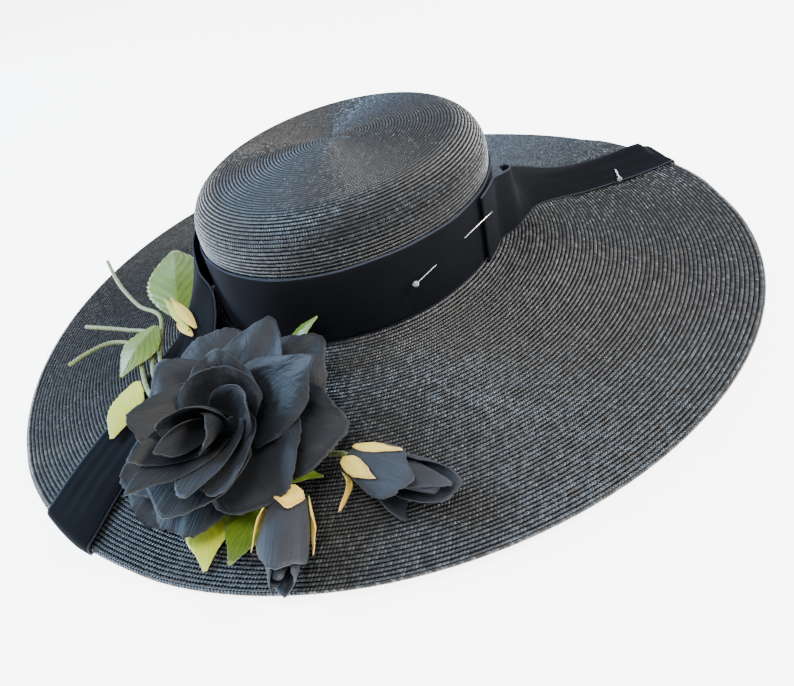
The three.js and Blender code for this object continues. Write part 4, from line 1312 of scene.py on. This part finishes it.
@dataclass
class Stems:
    """Wired stems wound in crepe, three of them cut ends that stick out to the left."""

    straw: StrawBody
    thick: float = 2.6
    sides: int = 16
    steps: int = 60
    row_mm: float = 1.1
    fewest_rows: int = 24
    # How far the strip's edge stands up, how slim the rest is, and the room up to a bud
    lap: float = 0.07
    slim: float = 0.94
    off_bud: float = 2.5
    paths: tuple = (
        ("stem_1", ((0.98, -180, 0.563), (0.71, -170, 0.679), (0.48, -158, 0.568), (0.32, -146, 0.579),
                    (0.37, -130, 0.326), (0.41, -113, 0.221), (0.415, -101.5, 0.189))),
        ("stem_2", ((0.78, -158, 0.532), (0.52, -151, 0.453), (0.38, -143, 0.442), (0.42, -128, 0.311),
                    (0.45, -113, 0.221), (0.455, -101.5, 0.189))),
        ("stem_3", ((0.79, -146, 0.547), (0.72, -147, 0.6), (0.6, -148, 0.537), (0.48, -144, 0.432),
                    (0.45, -137, 0.389), (0.47, -126, 0.284), (0.49, -113, 0.211), (0.495, -102, 0.189))),
        ("bud_1_stem", ((0.53, -91, 0.126), (0.61, -88, 0.153), (0.67, -84.5, 0.316))),
        ("bud_2_stem", ((0.47, -89.5, 0.126), (0.5, -82, 0.137), (0.54, -77, 0.289), (0.57, -74.6, 0.421))),
    )

    def stem(self, name: str, points: list) -> Piece:
        """Returns a stem along points, a little uneven where the strip overlaps, with cut ends."""
        path = Path(points)
        spots = [path.at(k / self.steps) for k in range(self.steps + 1)]
        length = sum((b - a).length for a, b in zip(spots, spots[1:]))
        rows = max(self.fewest_rows, int(length / self.row_mm))
        turns = length / CrepeWrap().turn_mm

        def lay(u: float, v: float) -> Vector:
            """Returns the point at a share round the stem and a share along it."""
            inner = clamp((v - 1 / rows) / (1 - 2 / rows))
            p, d = path.at(inner), path.heading(clamp(inner, 0.01, 0.99))
            side = d.cross(Vector((0, 0, 1))).normalized()
            up = side.cross(d)
            lap = self.lap * (((u + v * turns) % 1) - 0.5)
            radius = 0 if round(v * rows) in (0, rows) else self.thick / 2 * (self.slim + lap)
            a = 2 * pi * u
            return p + (side * cos(a) + up * sin(a)) * radius

        def count(u: float, v: float, _: float, __: float) -> tuple:
            """Returns the strip's turns round and along."""
            return u, v * turns

        return formed(f"{name}_wrap", (self.sides, rows), lay, count)

    def build(self, wardrobe: Wardrobe, buds: dict) -> None:
        """Makes and dresses every stem.

        Args:
            wardrobe: the finishes.
            buds: the bud that a stem of that name runs up to.
        """
        for name, rows in self.paths:
            points = [self.straw.over(*row) for row in rows]
            if name in buds:
                bud = buds[name]
                bloom = bud.bloom()
                height = bloom.curve(1 / bud.layers, 0)[1] - self.off_bud * CLEAR
                points.append(bloom.to_hat(0, 0, height))
            wardrobe.dress(self.stem(name, points), Finish.STEM, name)
        LOG.info("%d stems", len(self.paths))


@dataclass
class Pins:
    """Two steel pins with small glass heads that hold the ribbon."""

    wire: float = 0.8
    head: float = 3.2
    sides: int = 20
    head_steps: int = 10
    neck: float = 0.9
    # Where the taper starts and ends from the tip, and how much of the wire is left there
    taper: tuple = (6, 3.4)
    slim: float = 0.6

    def along(self, start: Vector, way: Vector) -> Callable:
        """Returns what places a radius, an angle and a height round a line."""
        turn = Vector((0, 0, 1)).rotation_difference(way)

        def place(r: float, a: float, h: float) -> Vector:
            """Returns the point of the hat."""
            p = Vector((r * cos(a), r * sin(a), h))
            p.rotate(turn)
            return start + p

        return place

    def build(self, wardrobe: Wardrobe) -> None:
        """Makes and dresses both pins along their solids' own lines."""
        for name in ("band_pin", "tail_pin"):
            ends = [vert.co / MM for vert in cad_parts[name].data.vertices]
            far = max(ends, key=lambda p: (p - ends[0]).length)
            other = max(ends, key=lambda p: (p - far).length)
            thick, thin = (sum((p - end).length < self.taper[1] for p in ends) for end in (far, other))
            head, tip = (far, other) if thick > thin else (other, far)
            way = (tip - head).normalized()
            length = (tip - head).length
            middle = head + way * self.head / 2
            r = self.wire / 2
            shaft = [
                (0, self.neck), (r, self.neck), (r, length - self.taper[0]),
                (self.slim * r, length - self.taper[1]), (0, length - self.head / 2),
            ]
            turns = [pi * k / self.head_steps for k in range(self.head_steps + 1)]
            ball = [(self.head / 2 * sin(turn), -self.head / 2 * cos(turn)) for turn in turns]
            place = self.along(middle, way)
            wardrobe.dress(turned(f"{name}_shaft", self.sides, shaft, place), Finish.STEEL, name)
            wardrobe.dress(turned(f"{name}_head", self.sides, ball, place), Finish.GLASS)
        LOG.info("pins")


@dataclass
class Studio:
    """A pale floor, soft light and the camera at the photograph's angle."""

    lens_mm: float = 31.74
    camera_mm: tuple = (148.5, -339.3, 204.5)
    right: tuple = (0.9418, 0.2771, -0.1905)
    up: tuple = (-0.0131, 0.5964, 0.8026)
    back: tuple = (0.336, -0.7534, 0.5653)
    # name, place in m, size in m, power in W, colour
    lamps: tuple = (
        ("window_back_left", (-1.3, 1.2, 1.15), 0.8, 8, "#a8d0ff"),
        ("window_right", (1.6, 0.5, 1.1), 0.6, 56, "#fbf3e6"),
        ("window_left", (-1.6, -0.1, 0.8), 0.7, 58, "#aed6ff"),
        ("ceiling", (0.2, -0.8, 1.9), 0.9, 32, "#ffffff"),
    )
    room_tone: str = "#f4f7fb"
    room_glow: float = 0.8
    sweep_tones: tuple = ("#f4f4f4", "#f7f7f7")
    sweep_glow: float = 6.0
    sweep_mm: float = 9000
    sweep_z: float = -0.3
    tooth_mm: float = 3.333
    sensor_mm: float = 36

    def floor(self) -> None:
        """Makes the floor."""
        piece = formed("studio_floor", (2, 2), lambda u, v: Vector((
            (u - 0.5) * self.sweep_mm, (v - 0.5) * self.sweep_mm, self.sweep_z,
        )))
        made, shader, spot, add = blank("pale_paper_sweep")
        tooth = add("TexNoise", {"Vector": spot.outputs["Object"], "Scale": fineness(self.tooth_mm)})
        low, high = (linear(code) for code in self.sweep_tones)
        tone = add("Mix", {0: tooth, 6: low, 7: high}, data_type="RGBA")
        feed(shader, {
            "Base Color": tone.outputs[2], "Emission Color": tone.outputs[2], "Roughness": 0.9,
            "Emission Strength": self.sweep_glow, "Specular IOR Level": 0.1,
        })
        piece.data.materials.append(made)

    def light(self) -> None:
        """Sets the room's light and its lamps."""
        world = bpy.data.worlds.new("room")
        world.use_nodes = True
        room = {"Color": linear(self.room_tone), "Strength": self.room_glow}
        feed(world.node_tree.nodes["Background"], room)
        bpy.context.scene.world = world
        for name, spot, size, power, colour in self.lamps:
            lamp = bpy.data.lights.new(name, "AREA")
            lamp.size = size
            lamp.energy = power
            lamp.color = linear(colour)[:3]
            piece = bpy.data.objects.new(name, lamp)
            piece.location = spot
            piece.rotation_euler = Vector(spot).to_track_quat("Z", "Y").to_euler()
            bpy.context.scene.collection.objects.link(piece)

    def camera(self) -> None:
        """Places the camera."""
        lens = bpy.data.cameras.new("camera")
        lens.lens = self.lens_mm
        lens.sensor_width = self.sensor_mm
        piece = bpy.data.objects.new("camera", lens)
        turn = Matrix((self.right, self.up, self.back)).transposed().to_4x4()
        piece.matrix_world = Matrix.Translation(Vector(self.camera_mm) * MM) @ turn
        bpy.context.scene.collection.objects.link(piece)
        bpy.context.scene.camera = piece

    def build(self) -> None:
        """Makes the floor, the light and the camera."""
        self.floor()
        self.light()
        self.camera()
        LOG.info("studio")


def main() -> None:
    """Makes the hat and the room round it."""
    logging.basicConfig(level=logging.INFO, format="%(message)s")
    Studio().build()
    wardrobe = Wardrobe()
    straw = StrawBody()
    ribbon = Ribbon(straw)
    straw.build(wardrobe)
    ribbon.build(wardrobe)
    Rose(straw).build(wardrobe)
    bud_1 = Bud(
        "bud_1", straw, foot=(0.72, -82, 0.468), tip=(1.04, -81, 0.495), length=44, width=20, layers=4,
        heart=0.14, hub=0.37, depth=0.04, start=(13, 17), end=(-24, -14), squash=0.85,
        petals=((1, 215, 1.5, 0.96, 0.2, 0), (2, -35, 1.5, 0.96, 0.3, 0), (3, 84, 1.5, 0.88, 0.2, 0)),
        sepals=((4.15, 90, 0.58, 0.34, 0.6, 0), (4, 0, 0.42, 0.62, 1, 0), (4, 180, 0.42, 0.62, 1, 0)),
    )
    bud_2 = Bud(
        "bud_2", straw, foot=(0.6, -73, 0.505), tip=(0.8, -63.3, 0.66), length=46, width=22, layers=5,
        heart=0.06, hub=0.4, depth=0.06, start=(20, 22), end=(-26, 4), squash=0.56,
        petals=(
            (1, 125, 1.5, 0.98, 0.4, 0), (2, 25, 1.5, 1, 0.3, 0), (3, -50, 0.8, 0.68, 0.9, 0.45),
            (4, 192, 1.3, 0.78, 0.4, 0),
        ),
        sepals=((4.6, 146, 0.3, 0.54, 0.7, 0), (5, 203, 0.4, 0.5, 1, 0), (4.6, -90, 0.26, 0.28, 0.8, 0.55)),
    )
    bud_1.build(wardrobe)
    bud_2.build(wardrobe)
    Foliage(straw).build(wardrobe)
    Stems(straw).build(wardrobe, {"bud_1_stem": bud_1, "bud_2_stem": bud_2})
    Pins().build(wardrobe)
    bpy.context.view_layer.update()


if __name__ == "__main__":
    main()
